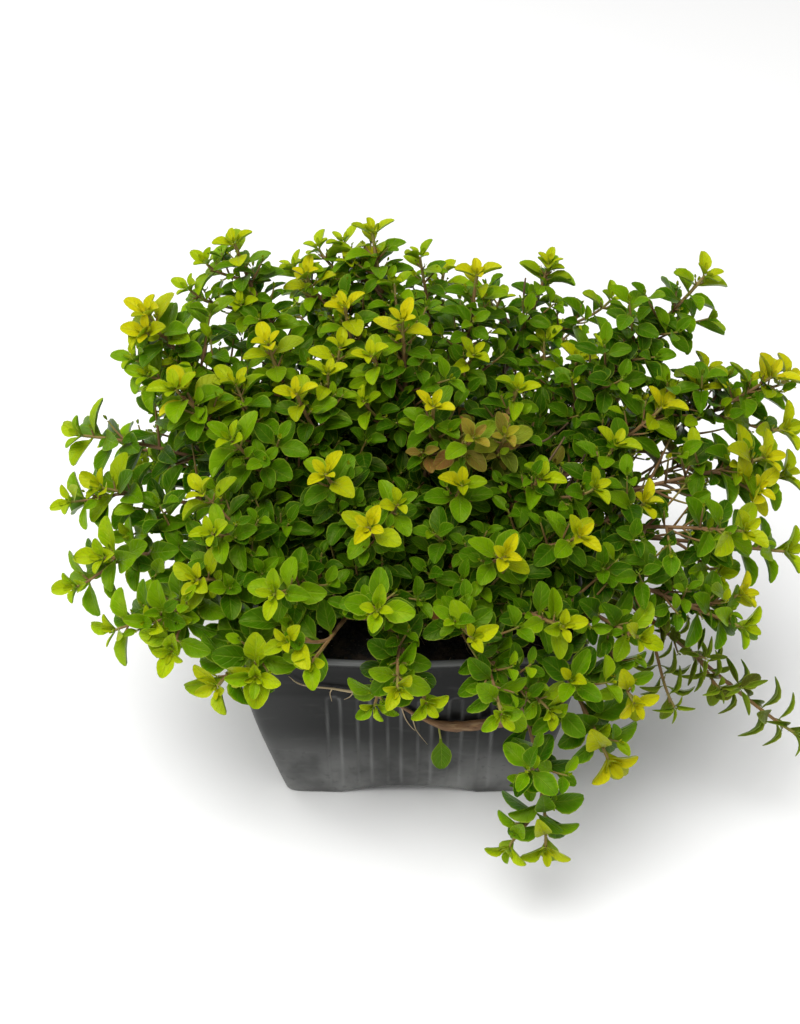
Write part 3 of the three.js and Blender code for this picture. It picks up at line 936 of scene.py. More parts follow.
@dataclass
class PottingMix:
    """The dark mix with its lumpy top, and the crumbs, white grains and fibres that lie on it."""

    node: str = "potting_mix"
    edge_height: float = 50.6
    crown_height: float = 53.0
    edge_half: float = 42.35
    skirt: float = 6.0  # how far its edge reaches down
    rings: int = 34
    points: int = 200
    crumbs: int = 520
    grains: int = 150
    fibres: int = 110

    def top(self, x: float, y: float) -> float:
        """The height of the mix's top at a place, in millimetres.

        Args:
            x: Place from the pot's middle, in millimetres.
            y: The same, away from the viewer.

        Returns:
            The height.
        """
        share = min(1.0, max(abs(x), abs(y)) / self.edge_half)
        crown = self.edge_height + (self.crown_height - self.edge_height) * (1 - share**2.2)
        lump = 0.5 * math.sin(0.45 * x + 2) * math.cos(0.38 * y + x)
        fine = 0.55 * noise.noise(Vector((x * 0.42, y * 0.42, 3.1)))
        fine += 0.35 * noise.noise(Vector((x * 1.1, y * 1.1, 7.7)))
        return crown + (lump + fine) * (1 - 0.4 * share**6)

    def build(self, centre: np.ndarray, pot: Pot) -> list[bpy.types.Object]:
        """Models the mix and what lies on it.

        Args:
            centre: The middle of the pot's foot, in metres.
            pot: The pot that holds it.

        Returns:
            The pieces.
        """
        bed = self.build_bed(centre, pot)
        rng = random.Random(41)
        bark = CrumbFinish("bark_crumb", (0.070, 0.045, 0.028), (0.008, 0.006, 0.004))
        white = CrumbFinish("white_grain", (0.50, 0.48, 0.42), (0.22, 0.20, 0.17))
        straw = CrumbFinish("mix_fibre", (0.32, 0.24, 0.15), (0.10, 0.065, 0.035))
        crumbs = self.scatter("mix_crumbs", self.crumbs, (0.35, 1.25), bark, centre, rng)
        grains = self.scatter("mix_grains", self.grains, (0.25, 0.65), white, centre, rng)
        fibres = self.lay_fibres(straw, centre, rng)
        return [bed, crumbs, grains, fibres]

    def build_bed(self, centre: np.ndarray, pot: Pot) -> bpy.types.Object:
        """Models the bed as a square dome with a skirt inside the pot's wall.

        Args:
            centre: The middle of the pot's foot, in metres.
            pot: The pot that holds it.

        Returns:
            The bed.
        """
        deselect_everything()
        bpy.ops.mesh.primitive_circle_add(vertices=self.points, radius=self.edge_half * MM, fill_type="NGON")
        bed = bpy.context.object
        bed.name = "mix_bed"
        bpy.ops.object.mode_set(mode="EDIT")
        bpy.ops.mesh.select_all(action="SELECT")
        bpy.ops.mesh.extrude_region_move(TRANSFORM_OT_translate={"value": (0, 0, self.skirt * MM)})
        for k in range(self.rings):
            shrink = 1 - 1 / (self.rings + 1 - k)
            bpy.ops.mesh.inset(thickness=0)
            bpy.ops.transform.resize(value=(shrink, shrink, 1))
        bpy.ops.mesh.poke()
        bpy.ops.object.mode_set(mode="OBJECT")
        plan = replace(pot, points=self.points).plan()
        for vertex in bed.data.vertices:
            half = math.hypot(vertex.co.x, vertex.co.y) / MM
            turn = math.atan2(vertex.co.y, vertex.co.x) % (2 * math.pi) / (2 * math.pi) * self.points
            lower = int(turn + 1e-4)
            x, y = (plan[lower % self.points] * half).tolist()
            below = vertex.co.z < 3 * MM
            z = self.edge_height - self.skirt if below else self.top(x, y)
            inward = 0.975 if below else 1.0
            vertex.co = Vector((x * inward * MM, y * inward * MM, z * MM)) + Vector(centre)
        make_active(bed)
        bpy.ops.object.shade_smooth_by_angle(angle=math.radians(60))
        bed.data.materials.append(MixFinish().make())
        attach(bed, "root")
        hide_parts(self.node)
        return bed

    def scatter(
        self,
        name: str,
        count: int,
        sizes: tuple[float, float],
        finish: CrumbFinish,
        centre: np.ndarray,
        rng: random.Random,
    ) -> bpy.types.Object:
        """Models one crumb and strews copies of it over the mix.

        Args:
            name: The piece's name.
            count: How many copies.
            sizes: The least and greatest radius, in millimetres.
            finish: Its finish.
            centre: The middle of the pot's foot, in metres.
            rng: The seeded draw.

        Returns:
            The piece.
        """
        deselect_everything()
        bpy.ops.mesh.primitive_ico_sphere_add(subdivisions=2, radius=1)
        crumb = bpy.context.object
        corners = np.array([v.co * (1 + 0.35 * noise.noise(v.co * 1.7)) for v in crumb.data.vertices])
        faces = np.array([p.vertices[:] for p in crumb.data.polygons])
        bpy.data.objects.remove(crumb, do_unlink=True)
        verts, tris = [], []
        for _ in range(count):
            half = self.edge_half - 1.0
            x, y = rng.uniform(-half, half), rng.uniform(-half, half)
            size = sizes[0] + (sizes[1] - sizes[0]) * rng.random() ** 2.5
            heading = Vector((rng.random(), rng.random(), rng.random()))
            turned = corners @ np.array(heading.to_track_quat("Z", "Y").to_matrix())
            stretch = np.array([1, rng.uniform(0.5, 1), rng.uniform(0.35, 0.8)])
            place = np.array([x, y, self.top(x, y) + size * 0.15])
            tris.append(faces + len(verts) * len(corners))
            verts.append((turned * size * stretch + place) * MM + centre)
        piece = mesh_object(name, np.concatenate(verts), np.concatenate(tris))
        make_active(piece)
        bpy.ops.object.shade_smooth_by_angle(angle=math.radians(35))
        piece.data.materials.append(finish.make())
        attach(piece, "root")
        return piece

    def lay_fibres(self, finish: CrumbFinish, centre: np.ndarray, rng: random.Random) -> bpy.types.Object:
        """Lays thin bent fibres on the mix.

        Args:
            finish: Their finish.
            centre: The middle of the pot's foot, in metres.
            rng: The seeded draw.

        Returns:
            The piece.
        """
        batch = Batch()
        half = self.edge_half - 4
        for _ in range(self.fibres):
            x, y, turn = rng.uniform(-half, half), rng.uniform(-half, half), rng.uniform(0, math.pi)
            length, curl = rng.uniform(3, 9), rng.uniform(-0.6, 0.6)
            line = []
            for k in range(5):
                share = k / 4 - 0.5
                px = x + length * share * math.cos(turn + curl * share)
                py = y + length * share * math.sin(turn + curl * share)
                line.append((px, py, self.top(px, py) + 0.25 + 0.35 * rng.random()))
            batch.add_tube(np.array(line), [0.10, 0.14, 0.15, 0.13, 0.08], 5)
        piece = batch.finish("mix_fibres", centre)
        piece.data.materials.append(finish.make())
        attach(piece, "root")
        return piece


def mesh_object(name: str, verts: np.ndarray, faces: np.ndarray) -> bpy.types.Object:
    """Makes an object of a mesh whose faces all have the same number of corners.

    Args:
        name: The object's name.
        verts: One row for each vertex, in metres.
        faces: One row of vertex numbers for each face.

    Returns:
        The object, linked to the scene.
    """
    mesh = bpy.data.meshes.new(name)
    mesh.vertices.add(len(verts))
    mesh.vertices.foreach_set("co", np.ascontiguousarray(verts, np.float32).ravel())
    mesh.loops.add(faces.size)
    mesh.loops.foreach_set("vertex_index", np.ascontiguousarray(faces, np.int32).ravel())
    mesh.polygons.add(len(faces))
    mesh.polygons.foreach_set("loop_start", np.arange(0, faces.size, faces.shape[1], dtype=np.int32))
    mesh.update(calc_edges=True)
    mesh.validate()
    piece = bpy.data.objects.new(name, mesh)
    bpy.context.scene.collection.objects.link(piece)
    return piece


# --- Thyme ------------------------------------------------------------------------------------------


class Tint(Enum):
    """How the young leaves at a shoot's tip are coloured, with their shares of gold and russet."""

    GREEN = (0.0, 0.0)
    LIME = (0.30, 0.0)
    GOLD = (0.80, 0.0)
    RUSSET = (0.15, 0.85)


class Blade(Enum):
    """The leaf blades that are modelled once and laid many times."""

    GROWN = 0
    YOUNG = 1
    BUD = 2
    FOLDED = 3
    CURLED = 4


class Habit(Enum):
    """How a shoot is clothed: its share of axils with twigs, and whether its leaves are dry and curled."""

    BUSHY = (1.0, False)
    LOOSE = (0.38, False)
    DRY = (0.22, True)

    @property
    def twiggy(self) -> float:
        """The share of its axils that bear twigs."""
        return self.value[0]

    @property
    def dry(self) -> bool:
        """Whether its leaves are dry and curled."""
        return self.value[1]


@dataclass(frozen=True)
class ShootPlan:
    """One leafy shoot: its CAD node, where its tip is from the middle of the pot's foot, and its lift."""

    node: str
    tip: tuple[float, float, float]
    lift: float
    tint: Tint = Tint.GREEN
    bend: float | None = None
    climb: float | None = None


@dataclass(frozen=True)
class BoughPlan:
    """A side branch: the shoot that bears it, where its tip is, its lift, and whether it is bare."""

    parent: str
    tip: tuple[float, float, float]
    lift: float
    tint: Tint = Tint.GREEN
    bare: bool = False


GREEN, LIME, GOLD, RUSSET = Tint.GREEN, Tint.LIME, Tint.GOLD, Tint.RUSSET
ZONE_SIZES: dict[str, float] = {  # a factor on the leaves' length
    "crown": 0.97,
    "left": 1.14,
    "front": 1.0,
    "right": 1.06,
    "back": 0.92,
    "side": 1.12,
}
SHOOT_SIZES: dict[str, float] = {  # the same, for single shoots
    "shoot_front_13": 1.25,
    "shoot_front_17": 1.2,
    "shoot_right_03": 1.14,
    "shoot_right_05": 1.16,
    "shoot_right_10": 0.84,
}
# How low the leaves of some shoots may hang, as sight() measures.
SHOOT_LOWEST: dict[str, float] = {"shoot_right_07": 6, "shoot_right_08": 6, "shoot_right_09": 5}
HABITS: dict[str, Habit] = {
    "shoot_right_10": Habit.DRY,
    "shoot_left_04": Habit.LOOSE,
    "shoot_left_05": Habit.LOOSE,
    "shoot_side_02": Habit.LOOSE,
    "shoot_right_08": Habit.LOOSE,
    "shoot_front_17": Habit.LOOSE,
    "shoot_front_18": Habit.LOOSE,
}
# Each shoot's tip, lift and tint, with its bend and climb where it has its own, as in the CAD source.
SHOOT_ROWS: dict[str, list[tuple]] = {
    "crown": [
        ((-47, 42, 131), 70, LIME),
        ((-10, 46, 132), 62, LIME),
        ((18, 34, 126), 76, GOLD),
        ((39, 54, 116), 55, GREEN),
        ((-17, 24, 122), 80, GOLD),
        ((-37, 14, 117), 74, GOLD),
        ((-2, 14, 124), 85, GOLD),
        ((-29, -2, 112), 72, GOLD),
        ((6, -6, 111), 82, GOLD),
        ((28, 6, 108), 74, LIME),
        ((46, 28, 103), 62, LIME),
    ],
    "left": [
        ((-68, 17, 124), 56, GOLD),
        ((-60, 0, 112), 50, GREEN),
        ((-45, -14, 106), 55, GREEN),
        ((-87, 5, 94), 8, GREEN),
        ((-78, -29, 80), 14, GREEN),
        ((-64, -45, 72), -4, GREEN),
    ],
    "front": [
        ((-21, -24, 103), 64, GOLD),
        ((13, -22, 98), 66, GOLD),
        ((33, -18, 97), 62, GREEN),
        ((-49, -34, 92), 36, GREEN),
        ((-10, -39, 98), 54, GOLD),
        ((23, -43, 92), 48, GOLD),
        ((42, -34, 91), 44, GOLD),
        ((-33, -50, 86), 30, GREEN),
        ((-8, -56, 86), 34, GREEN),
        ((15, -58, 79), 20, LIME),
        ((37, -55, 80), 20, LIME),
        ((-24, -59, 72), 8, GREEN),
        ((-48, -55, 60), -28, LIME),
        ((-3, -62, 66), -22, LIME),
        ((57, -48, 70), 0, LIME),
        ((22, -68, 63), -28, GREEN),
        ((50, -63, 42), -56, GOLD),
        ((34, -77, 25), -66, LIME, 0.1),
    ],
    "right": [
        ((78, 30, 128), 48, LIME),
        ((66, 4, 104), 52, GOLD),
        ((96, 15, 106), 36, GOLD),
        ((79, 10, 84), 16, RUSSET, -0.12),
        ((92, -6, 95), 26, GOLD),
        ((60, -18, 89), 44, GOLD),
        ((84, -28, 88), 20, LIME, 0.1),
        ((98, -19, 74), 2, GREEN),
        ((84, -42, 68), -8, GREEN),
        ((103, -42, 30), -24, GREEN, None, 48),
    ],
    "back": [
        ((66, 44, 103), 48, GREEN),
        ((10, 66, 108), 46, LIME),
        ((-30, 62, 110), 48, LIME),
        ((-66, 42, 104), 38, GREEN),
        ((78, 48, 72), 4, GREEN),
        ((34, 72, 76), 12, GREEN),
        ((-16, 76, 80), 14, LIME),
        ((-84, 36, 70), 4, GREEN),
    ],
    "side": [
        ((-53, -40, 82), 24, LIME),
        ((-80, -10, 88), 20, LIME),
    ],
}
# Each side branch's shoot, tip, lift and tint, and whether it is bare.
BOUGH_ROWS: list[tuple] = [
    ("left_01", (-68, 13, 121), 60, GOLD),
    ("crown_01", (-55, 42, 125), 60, GREEN),
    ("crown_02", (-25, 50, 125), 50, GREEN),
    ("crown_02", (-16, 44, 124), 60, LIME),
    ("crown_04", (56, 46, 111), 50, GREEN),
    ("back_02", (3, 56, 119), 60, GREEN),
    ("back_05", (64, 58, 84), 30, GREEN),
    ("back_06", (48, 66, 88), 30, LIME),
    ("back_07", (-34, 72, 92), 30, GREEN),
    ("back_08", (-74, 46, 84), 20, LIME),
    ("right_06", (53, -6, 99), 60, LIME),
    ("right_05", (90, -12, 89), 30, GOLD),
    ("right_03", (99, 5, 96), 30, LIME),
    ("right_03", (88, 18, 96), 40, GREEN),
    ("right_03", (80, 22, 103), 45, LIME),
    ("right_02", (77, 14, 103), 55, LIME),
    ("right_01", (66, 34, 111), 55, GREEN),
    ("right_09", (84, -35, 73), 10, GOLD),
    ("right_10", (69, -44, 42), -20, GREEN),
    ("right_10", (81, -40, 45), 0, GREEN),
    ("front_15", (56, -57, 56), -25, GOLD),
    ("left_03", (-45, 4, 111), 60, LIME),
    ("left_04", (-70, 4, 83), 10, GREEN),
    ("left_05", (-85, -32, 73), -10, GREEN),
    ("left_06", (-74, -44, 69), -15, GREEN),
    ("left_06", (-59, -52, 69), -20, GREEN),
    ("side_02", (-88, -12, 85), 5, GREEN),
    ("front_03", (47, -18, 94), 50, LIME),
    ("front_04", (-52, -24, 97), 45, LIME),
    ("front_05", (-3, -30, 98), 60, LIME),
    ("crown_09", (16, -14, 107), 70, RUSSET),
    ("crown_10", (24, -12, 106), 70, RUSSET),
    ("front_12", (-30, -56, 76), 15, LIME),
    ("front_13", (-38, -58, 66), -20, GREEN),
    ("front_14", (4, -61, 60), -30, GREEN),
    ("front_14", (-9, -57, 55), -45, GREEN),
    ("front_16", (34, -63, 60), -30, GREEN),
    ("front_18", (25, -76, 24), -70, GREEN),
    ("crown_01", (-60, 40, 118), 45, GREEN),
    ("crown_01", (-45, 30, 119), 60, GREEN),
    ("crown_02", (-18, 50, 127), 50, GREEN),
    ("crown_02", (-10, 44, 125), 60, GOLD),
    ("crown_02", (-32, 48, 120), 45, GREEN),
    ("crown_02", (-28, 42, 121), 70, GOLD),
    ("crown_07", (-4, 34, 123), 65, GREEN),
    ("crown_06", (-18, 14, 116), 70, LIME),
    ("crown_07", (-10, 8, 117), 70, LIME),
    ("crown_08", (-21, 6, 113), 70, LIME),
    ("crown_07", (-12, 2, 107), 65, GREEN),
    ("crown_03", (17, 18, 111), 65, LIME),
    ("crown_03", (25, 40, 115), 50, GREEN),
    ("crown_04", (39, 54, 118), 60, LIME),
    ("crown_11", (37, 34, 105), 60, GREEN),
    ("left_01", (-68, 8, 111), 40, GREEN),
    ("left_01", (-72, 14, 112), 30, GREEN),
    ("left_02", (-58, 2, 111), 55, GOLD),
    ("right_01", (54, 34, 102), 60, GREEN),
    ("right_08", (80, -26, 72), 10, GREEN),
    ("crown_04", (32, 46, 118), 60, GREEN, True),
    ("front_03", (40, -4, 100), 60, GREEN, True),
    ("right_04", (70, -2, 92), 30, GREEN, True),
    ("left_04", (-62, 14, 92), 25, GREEN, True),
    ("crown_11", (42, 8, 96), 60, GREEN, True),
    ("crown_10", (38, 2, 97), 60, GREEN, True),
    ("right_06", (46, -2, 93), 60, GREEN, True),
    ("right_05", (74, -8, 84), 30, GREEN, True),
    ("right_04", (68, -8, 80), 30, GREEN, True),
    ("right_03", (102, 21, 101), 25, GOLD),
    ("right_05", (99, -2, 86), 12, LIME),
]


def shoot_plans() -> list[ShootPlan]:
    """The shoots in the CAD source's order."""
    rows = ((zone, k, row) for zone, rows in SHOOT_ROWS.items() for k, row in enumerate(rows, 1))
    return [ShootPlan(f"shoot_{zone}_{k:02d}", *row) for zone, k, row in rows]


def bough_plans() -> list[BoughPlan]:
    """The side branches, each with the node of the shoot that bears it."""
    return [BoughPlan("shoot_" + parent, *row) for parent, *row in BOUGH_ROWS]


def cubic(start: np.ndarray, near: np.ndarray, behind: np.ndarray, end: np.ndarray, count: int) -> np.ndarray:
    """Points along a cubic curve.

    Args:
        start: Its first point.
        near: The first handle.
        behind: The second handle.
        end: Its last point.
        count: How many points.

    Returns:
        One row for each point.
    """
    t = np.linspace(0, 1, count)[:, None]
    return (1 - t) ** 3 * start + 3 * (1 - t) ** 2 * t * near + 3 * (1 - t) * t**2 * behind + t**3 * end


class StemLine:
    """A stem's middle line with directions carried along it, measured back from its tip."""

    def __init__(self, points: np.ndarray) -> None:
        """Measures the line and carries a normal along it.

        Args:
            points: The line's points from root to tip, in millimetres.
        """
        self.points = points
        steps = np.linalg.norm(np.diff(points, axis=0), axis=1)
        self.lengths = np.concatenate([[0], np.cumsum(steps)])
        self.tangents = np.array([unit(t) for t in np.gradient(points, axis=0)])
        first = np.abs(points[1] - points[0])
        start = np.array([0.0, 1.0, 0.0]) if first[1] <= first[0] else np.array([1.0, 0.0, 0.0])
        side = unit(np.cross(self.tangents[0], start))
        normals = [np.cross(self.tangents[0], side)]
        for tangent in self.tangents[1:]:
            normals.append(unit(normals[-1] - tangent * np.dot(normals[-1], tangent)))
        self.normals = np.array(normals)

    @property
    def length(self) -> float:
        """The line's length, in millimetres."""
        return float(self.lengths[-1])

    def at(self, back: float) -> tuple[np.ndarray, np.ndarray, np.ndarray, np.ndarray]:
        """The place some distance behind the tip.

        Args:
            back: The distance, in millimetres.

        Returns:
            The point, the leaf axis, which leans to the light, and two directions square to the stem.
        """
        along = max(0.0, self.length - back)
        point = np.array([np.interp(along, self.lengths, self.points[:, k]) for k in range(3)])
        tangent = unit(np.array([np.interp(along, self.lengths, self.tangents[:, k]) for k in range(3)]))
        normal = unit(np.array([np.interp(along, self.lengths, self.normals[:, k]) for k in range(3)]))
        axis = unit(tangent + LIGHT_PULL * UP + LEAN)
        return point, axis, normal, np.cross(tangent, normal)

    def outward(self, back: float, angle: float) -> tuple[np.ndarray, np.ndarray, np.ndarray]:
        """The direction in which a leaf leaves the stem.

        Args:
            back: Distance behind the tip, in millimetres.
            angle: Degrees round the stem.

        Returns:
            The point, the leaf axis and the direction, square to that axis.
        """
        point, axis, normal, binormal = self.at(back)
        around = tilted(normal, binormal, angle)
        return point, axis, unit(around - axis * np.dot(around, axis))


@dataclass(frozen=True)
class Template:
    """A small modelled shape that is stamped many times: its corners, faces, UVs and underside."""

    corners: np.ndarray
    faces: np.ndarray
    uv: np.ndarray
    under: np.ndarray


@dataclass
class LeafShape:
    """One leaf blade on its short stalk, a unit long, pointing along +X with its face up."""

    cup: float  # how far the margins rise, as a share of the half width
    bow: float  # how far the middle of the blade arches up
    droop: float  # how far the end bends down
    slender: float = 1.0
    thickness: float = 0.035
    stations: tuple[tuple[float, float], ...] = (
        (0.00, 0.075),
        (0.13, 0.09),
        (0.25, 0.32),
        (0.40, 0.55),
        (0.57, 0.62),
        (0.76, 0.52),
        (0.92, 0.33),
        (1.00, 0.13),
    )

    def build(self) -> Template:
        """Models the blade from a grid: widths row by row, cup and arch, then an underside sewn on.

        Returns:
            The blade as a template.
        """
        rows = len(self.stations) - 1
        deselect_everything()
        bpy.ops.mesh.primitive_grid_add(x_subdivisions=rows, y_subdivisions=4, size=1, calc_uvs=True)
        leaf = bpy.context.object
        bpy.ops.object.mode_set(mode="EDIT")
        for lift, place in ((self.cup, 0.5), (self.cup * 0.36, 0.25)):
            select_vertices(leaf, lambda co, n: abs(abs(co.y) - place) < 0.01)
            bpy.ops.transform.translate(value=(0, 0, lift))
        for k, (along, width) in enumerate(self.stations):
            here = k / rows - 0.5
            select_vertices(leaf, lambda co, n: abs(co.x - here) < 0.004)
            span = width * self.slender
            bpy.ops.transform.resize(value=(1, span, span), center_override=(here, 0, 0))
            bow = self.bow * 4 * along * (1 - along) - self.droop * max(0.0, along - 0.45) ** 2
            bpy.ops.transform.translate(value=(along - here + 10, 0, bow))
        bpy.ops.mesh.select_all(action="SELECT")
        bpy.ops.transform.translate(value=(-10, 0, 0))
        count = (rows + 1) * 5
        margin = self.margin_numbers(leaf)
        bpy.ops.mesh.duplicate()
        bpy.ops.mesh.flip_normals()
        select_vertices(leaf, lambda co, n: n >= count and (n - count) not in margin)
        bpy.ops.transform.translate(value=(0, 0, -self.thickness))
        bpy.ops.mesh.select_all(action="SELECT")
        bpy.ops.mesh.remove_doubles(threshold=0.0005)
        bpy.ops.object.mode_set(mode="OBJECT")
        return take_template(leaf)

    @staticmethod
    def margin_numbers(leaf: bpy.types.Object) -> set[int]:
        """The numbers of the vertices on the blade's margin."""
        edited = bmesh.from_edit_mesh(leaf.data)
        return {v.index for v in edited.verts if v.is_boundary}


def build_hair() -> Template:
    """Models one short stem hair, a unit long, as a slim pointed bar along +X.

    Returns:
        The hair as a template.
    """
    deselect_everything()
    bpy.ops.mesh.primitive_cube_add(size=1, location=(0.5, 0, 0))
    hair = bpy.context.object
    bpy.ops.object.mode_set(mode="EDIT")
    for place, span in ((-0.5, 0.16), (0.5, 0.05)):
        select_vertices(hair, lambda co, n: abs(co.x - place) < 0.01)
        bpy.ops.transform.resize(value=(1, span, span), center_override=(0.5 + place, 0, 0))
    bpy.ops.mesh.select_all(action="SELECT")
    bpy.ops.transform.translate(value=(0.5, 0, 0))
    bpy.ops.object.mode_set(mode="OBJECT")
    return take_template(hair)


def take_template(shape: bpy.types.Object) -> Template:
    """Reads a modelled shape of four-cornered faces into a template and removes it.

    Args:
        shape: The shape's object.

    Returns:
        The template.
    """
    mesh = shape.data
    corners = np.array([v.co[:] for v in mesh.vertices])
    faces = np.array([p.vertices[:] for p in mesh.polygons])
    uv = np.array([mesh.uv_layers[0].data[i].uv[:] for p in mesh.polygons for i in p.loop_indices])
    under = np.array([p.normal.z < 0 for p in mesh.polygons], float)
    bpy.data.objects.remove(shape, do_unlink=True)
    return Template(corners, faces, uv.reshape(-1, 4, 2), under)


@dataclass
class Leaf:
    """One leaf to stamp: its place and directions in millimetres, its size and its tone."""

    seat: np.ndarray
    ahead: np.ndarray
    face: np.ndarray
    length: float
    breadth: float = 1.0
    curl: float = 1.0
    shape: Blade = Blade.GROWN
    age: float = 0.5
    gold: float = 0.0
    russet: float = 0.0
    seed: float = 0.0

    def samples(self) -> np.ndarray:
        """Points on the blade that keep their distance from other leaves.

        Returns:
            One row for each point.
        """
        across = np.cross(self.face, self.ahead) * self.length * 0.20 * self.breadth
        middle = self.seat + self.ahead * self.length * 0.55 + self.face * self.length * 0.05
        far = self.seat + self.ahead * self.length * 0.88
        return np.array([middle, far, middle + across, middle - across])


class Batch:
    """Gathers stamped leaves and swept stems, and makes one mesh of them."""

    def __init__(self) -> None:
        """Starts empty."""
        self.verts: list[np.ndarray] = []
        self.faces: list[np.ndarray] = []
        self.uv: list[np.ndarray] = []
        self.point_values: dict[str, list[np.ndarray]] = {k: [] for k in ("age", "gold", "russet", "seed")}
        self.under: list[np.ndarray] = []
        self.slots: list[np.ndarray] = []
        self.count = 0

    def put(
        self,
        verts: np.ndarray,
        faces: np.ndarray,
        uv: np.ndarray,
        under: np.ndarray,
        slot: int,
        **tones: object,
    ) -> None:
        """Adds one shape.

        Args:
            verts: Its vertices, in millimetres.
            faces: Its four-cornered faces.
            uv: The UV of each face's corners.
            under: 1 for each face of a leaf's underside.
            slot: The material slot.
            tones: A value, or one for each vertex, for each attribute.
        """
        self.verts.append(verts)
        self.faces.append(faces + self.count)
        self.uv.append(uv)
        self.under.append(under)
        self.slots.append(np.full(len(faces), slot, np.int32))
        for key, store in self.point_values.items():
            store.append(np.broadcast_to(np.asarray(tones.get(key, 0.0), float), (len(verts),)))
        self.count += len(verts)

    def add_leaf(self, leaf: Leaf, template: Template) -> None:
        """Stamps a leaf.

        Args:
            leaf: The leaf.
            template: Its blade.
        """
        across = np.cross(leaf.face, leaf.ahead)
        basis = np.stack([leaf.ahead, across * leaf.breadth, leaf.face * leaf.curl]) * leaf.length
        verts = template.corners @ basis + leaf.seat
        tones = {"age": leaf.age, "gold": leaf.gold, "russet": leaf.russet, "seed": leaf.seed}
        self.put(verts, template.faces, template.uv, template.under, 0, **tones)

    def add_hairs(self, line: StemLine, radius: float, template: Template, rng: random.Random) -> None:
        """Stamps short hairs on the young end of a stem.

        Args:
            line: The stem's middle line.
            radius: The stem's radius there, in millimetres.
            template: The hair.
            rng: The seeded draw.
        """
        back, angle = 0.5, rng.uniform(0, 360)
        while back < min(34.0, line.length - 2):
            point, _, normal, binormal = line.at(back)
            angle += 137.5
            out = tilted(normal, binormal, angle)
            ahead = unit(out + 0.35 * np.cross(normal, binormal))
            side = unit(np.cross(ahead, normal + 0.3 * binormal))
            basis = np.stack([ahead, side, np.cross(ahead, side)]) * rng.uniform(0.35, 0.6)
            verts = template.corners @ basis + point + out * radius * 0.85
            self.put(verts, template.faces, template.uv, np.zeros(len(template.faces)), 1, age=1.0)
            back += 0.32 + 0.012 * back

    def add_tube(
        self,
        line: np.ndarray,
        radii: Sequence[float],
        sides: int = 8,
        ages: object = 0.0,
        slot: int = 0,
        pale: object = 0.0,
    ) -> None:
        """Sweeps a closed stem along a line.

        Args:
            line: The points it follows, in millimetres.
            radii: Its radius at each point.
            sides: Its sides, an even number.
            ages: Its age tone, at each point or all along.
            slot: The material slot.
            pale: How far it is a pale root, at each point or all along.
        """
        stem = StemLine(line)
        count = len(line)
        turn = np.arange(sides) * 2 * math.pi / sides
        binormals = np.cross(stem.tangents, stem.normals)
        cosine, sine = np.cos(turn)[None, :, None], np.sin(turn)[None, :, None]
        ring = cosine * stem.normals[:, None] + sine * binormals[:, None]
        square = 1 + (0.09 * np.cos(4 * turn) if sides >= 8 else 0 * turn)
        verts = line[:, None] + ring * (np.asarray(radii)[:, None] * square[None, :])[:, :, None]
        verts = verts.reshape(-1, 3)
        verts = np.concatenate([verts, line[:1], line[-1:]])
        here = np.arange(sides)
        after = (here + 1) % sides
        faces = []
        for k in range(count - 1):
            low, high = k * sides, (k + 1) * sides
            faces.append(np.stack([low + here, low + after, high + after, high + here], axis=1))
        foot, end, last = count * sides, count * sides + 1, (count - 1) * sides
        pairs = [(k, (k + 1) % sides, (k + 2) % sides) for k in range(0, sides - 1, 2)]
        caps = [(foot, c, b, a) for a, b, c in pairs]
        caps += [(end, last + a, last + b, last + c) for a, b, c in pairs]
        faces = np.concatenate([*faces, np.array(caps)])
        uv = np.zeros((len(faces), 4, 2))  # along in millimetres, and once round
        wall = (count - 1) * sides
        ahead, around = np.repeat(stem.lengths, sides), np.tile(here, count - 1)
        uv[:wall, :, 0] = np.stack([ahead[:-sides]] * 2 + [ahead[sides:]] * 2, axis=1)
        uv[:wall, :, 1] = np.stack([around, around + 1, around + 1, around], axis=1) / sides
        both = [np.broadcast_to(np.asarray(tone, float), (count,)) for tone in (ages, pale)]
        both = [np.concatenate([np.repeat(tone, sides), tone[:1], tone[-1:]]) for tone in both]
        self.put(verts, faces, uv, np.zeros(len(faces)), slot, age=both[0], seed=both[1])

    def finish(self, name: str, centre: np.ndarray) -> bpy.types.Object:
        """Makes the mesh.

        Args:
            name: The piece's name.
            centre: The middle of the pot's foot, in metres.

        Returns:
            The piece.
        """
        verts = np.concatenate(self.verts) * MM + centre
        piece = mesh_object(name, verts, np.concatenate(self.faces))
        mesh = piece.data
        layer = mesh.uv_layers.new(name="blade")
        layer.data.foreach_set("uv", np.concatenate(self.uv).astype(np.float32).ravel())
        for key, store in self.point_values.items():
            values = mesh.attributes.new(key, "FLOAT", "POINT")
            values.data.foreach_set("value", np.concatenate(store).astype(np.float32))
        under = mesh.attributes.new("under", "FLOAT", "FACE")
        under.data.foreach_set("value", np.concatenate(self.under).astype(np.float32))
        mesh.polygons.foreach_set("material_index", np.concatenate(self.slots))
        make_active(piece)
        bpy.ops.object.shade_smooth_by_angle(angle=math.radians(75))
        return piece


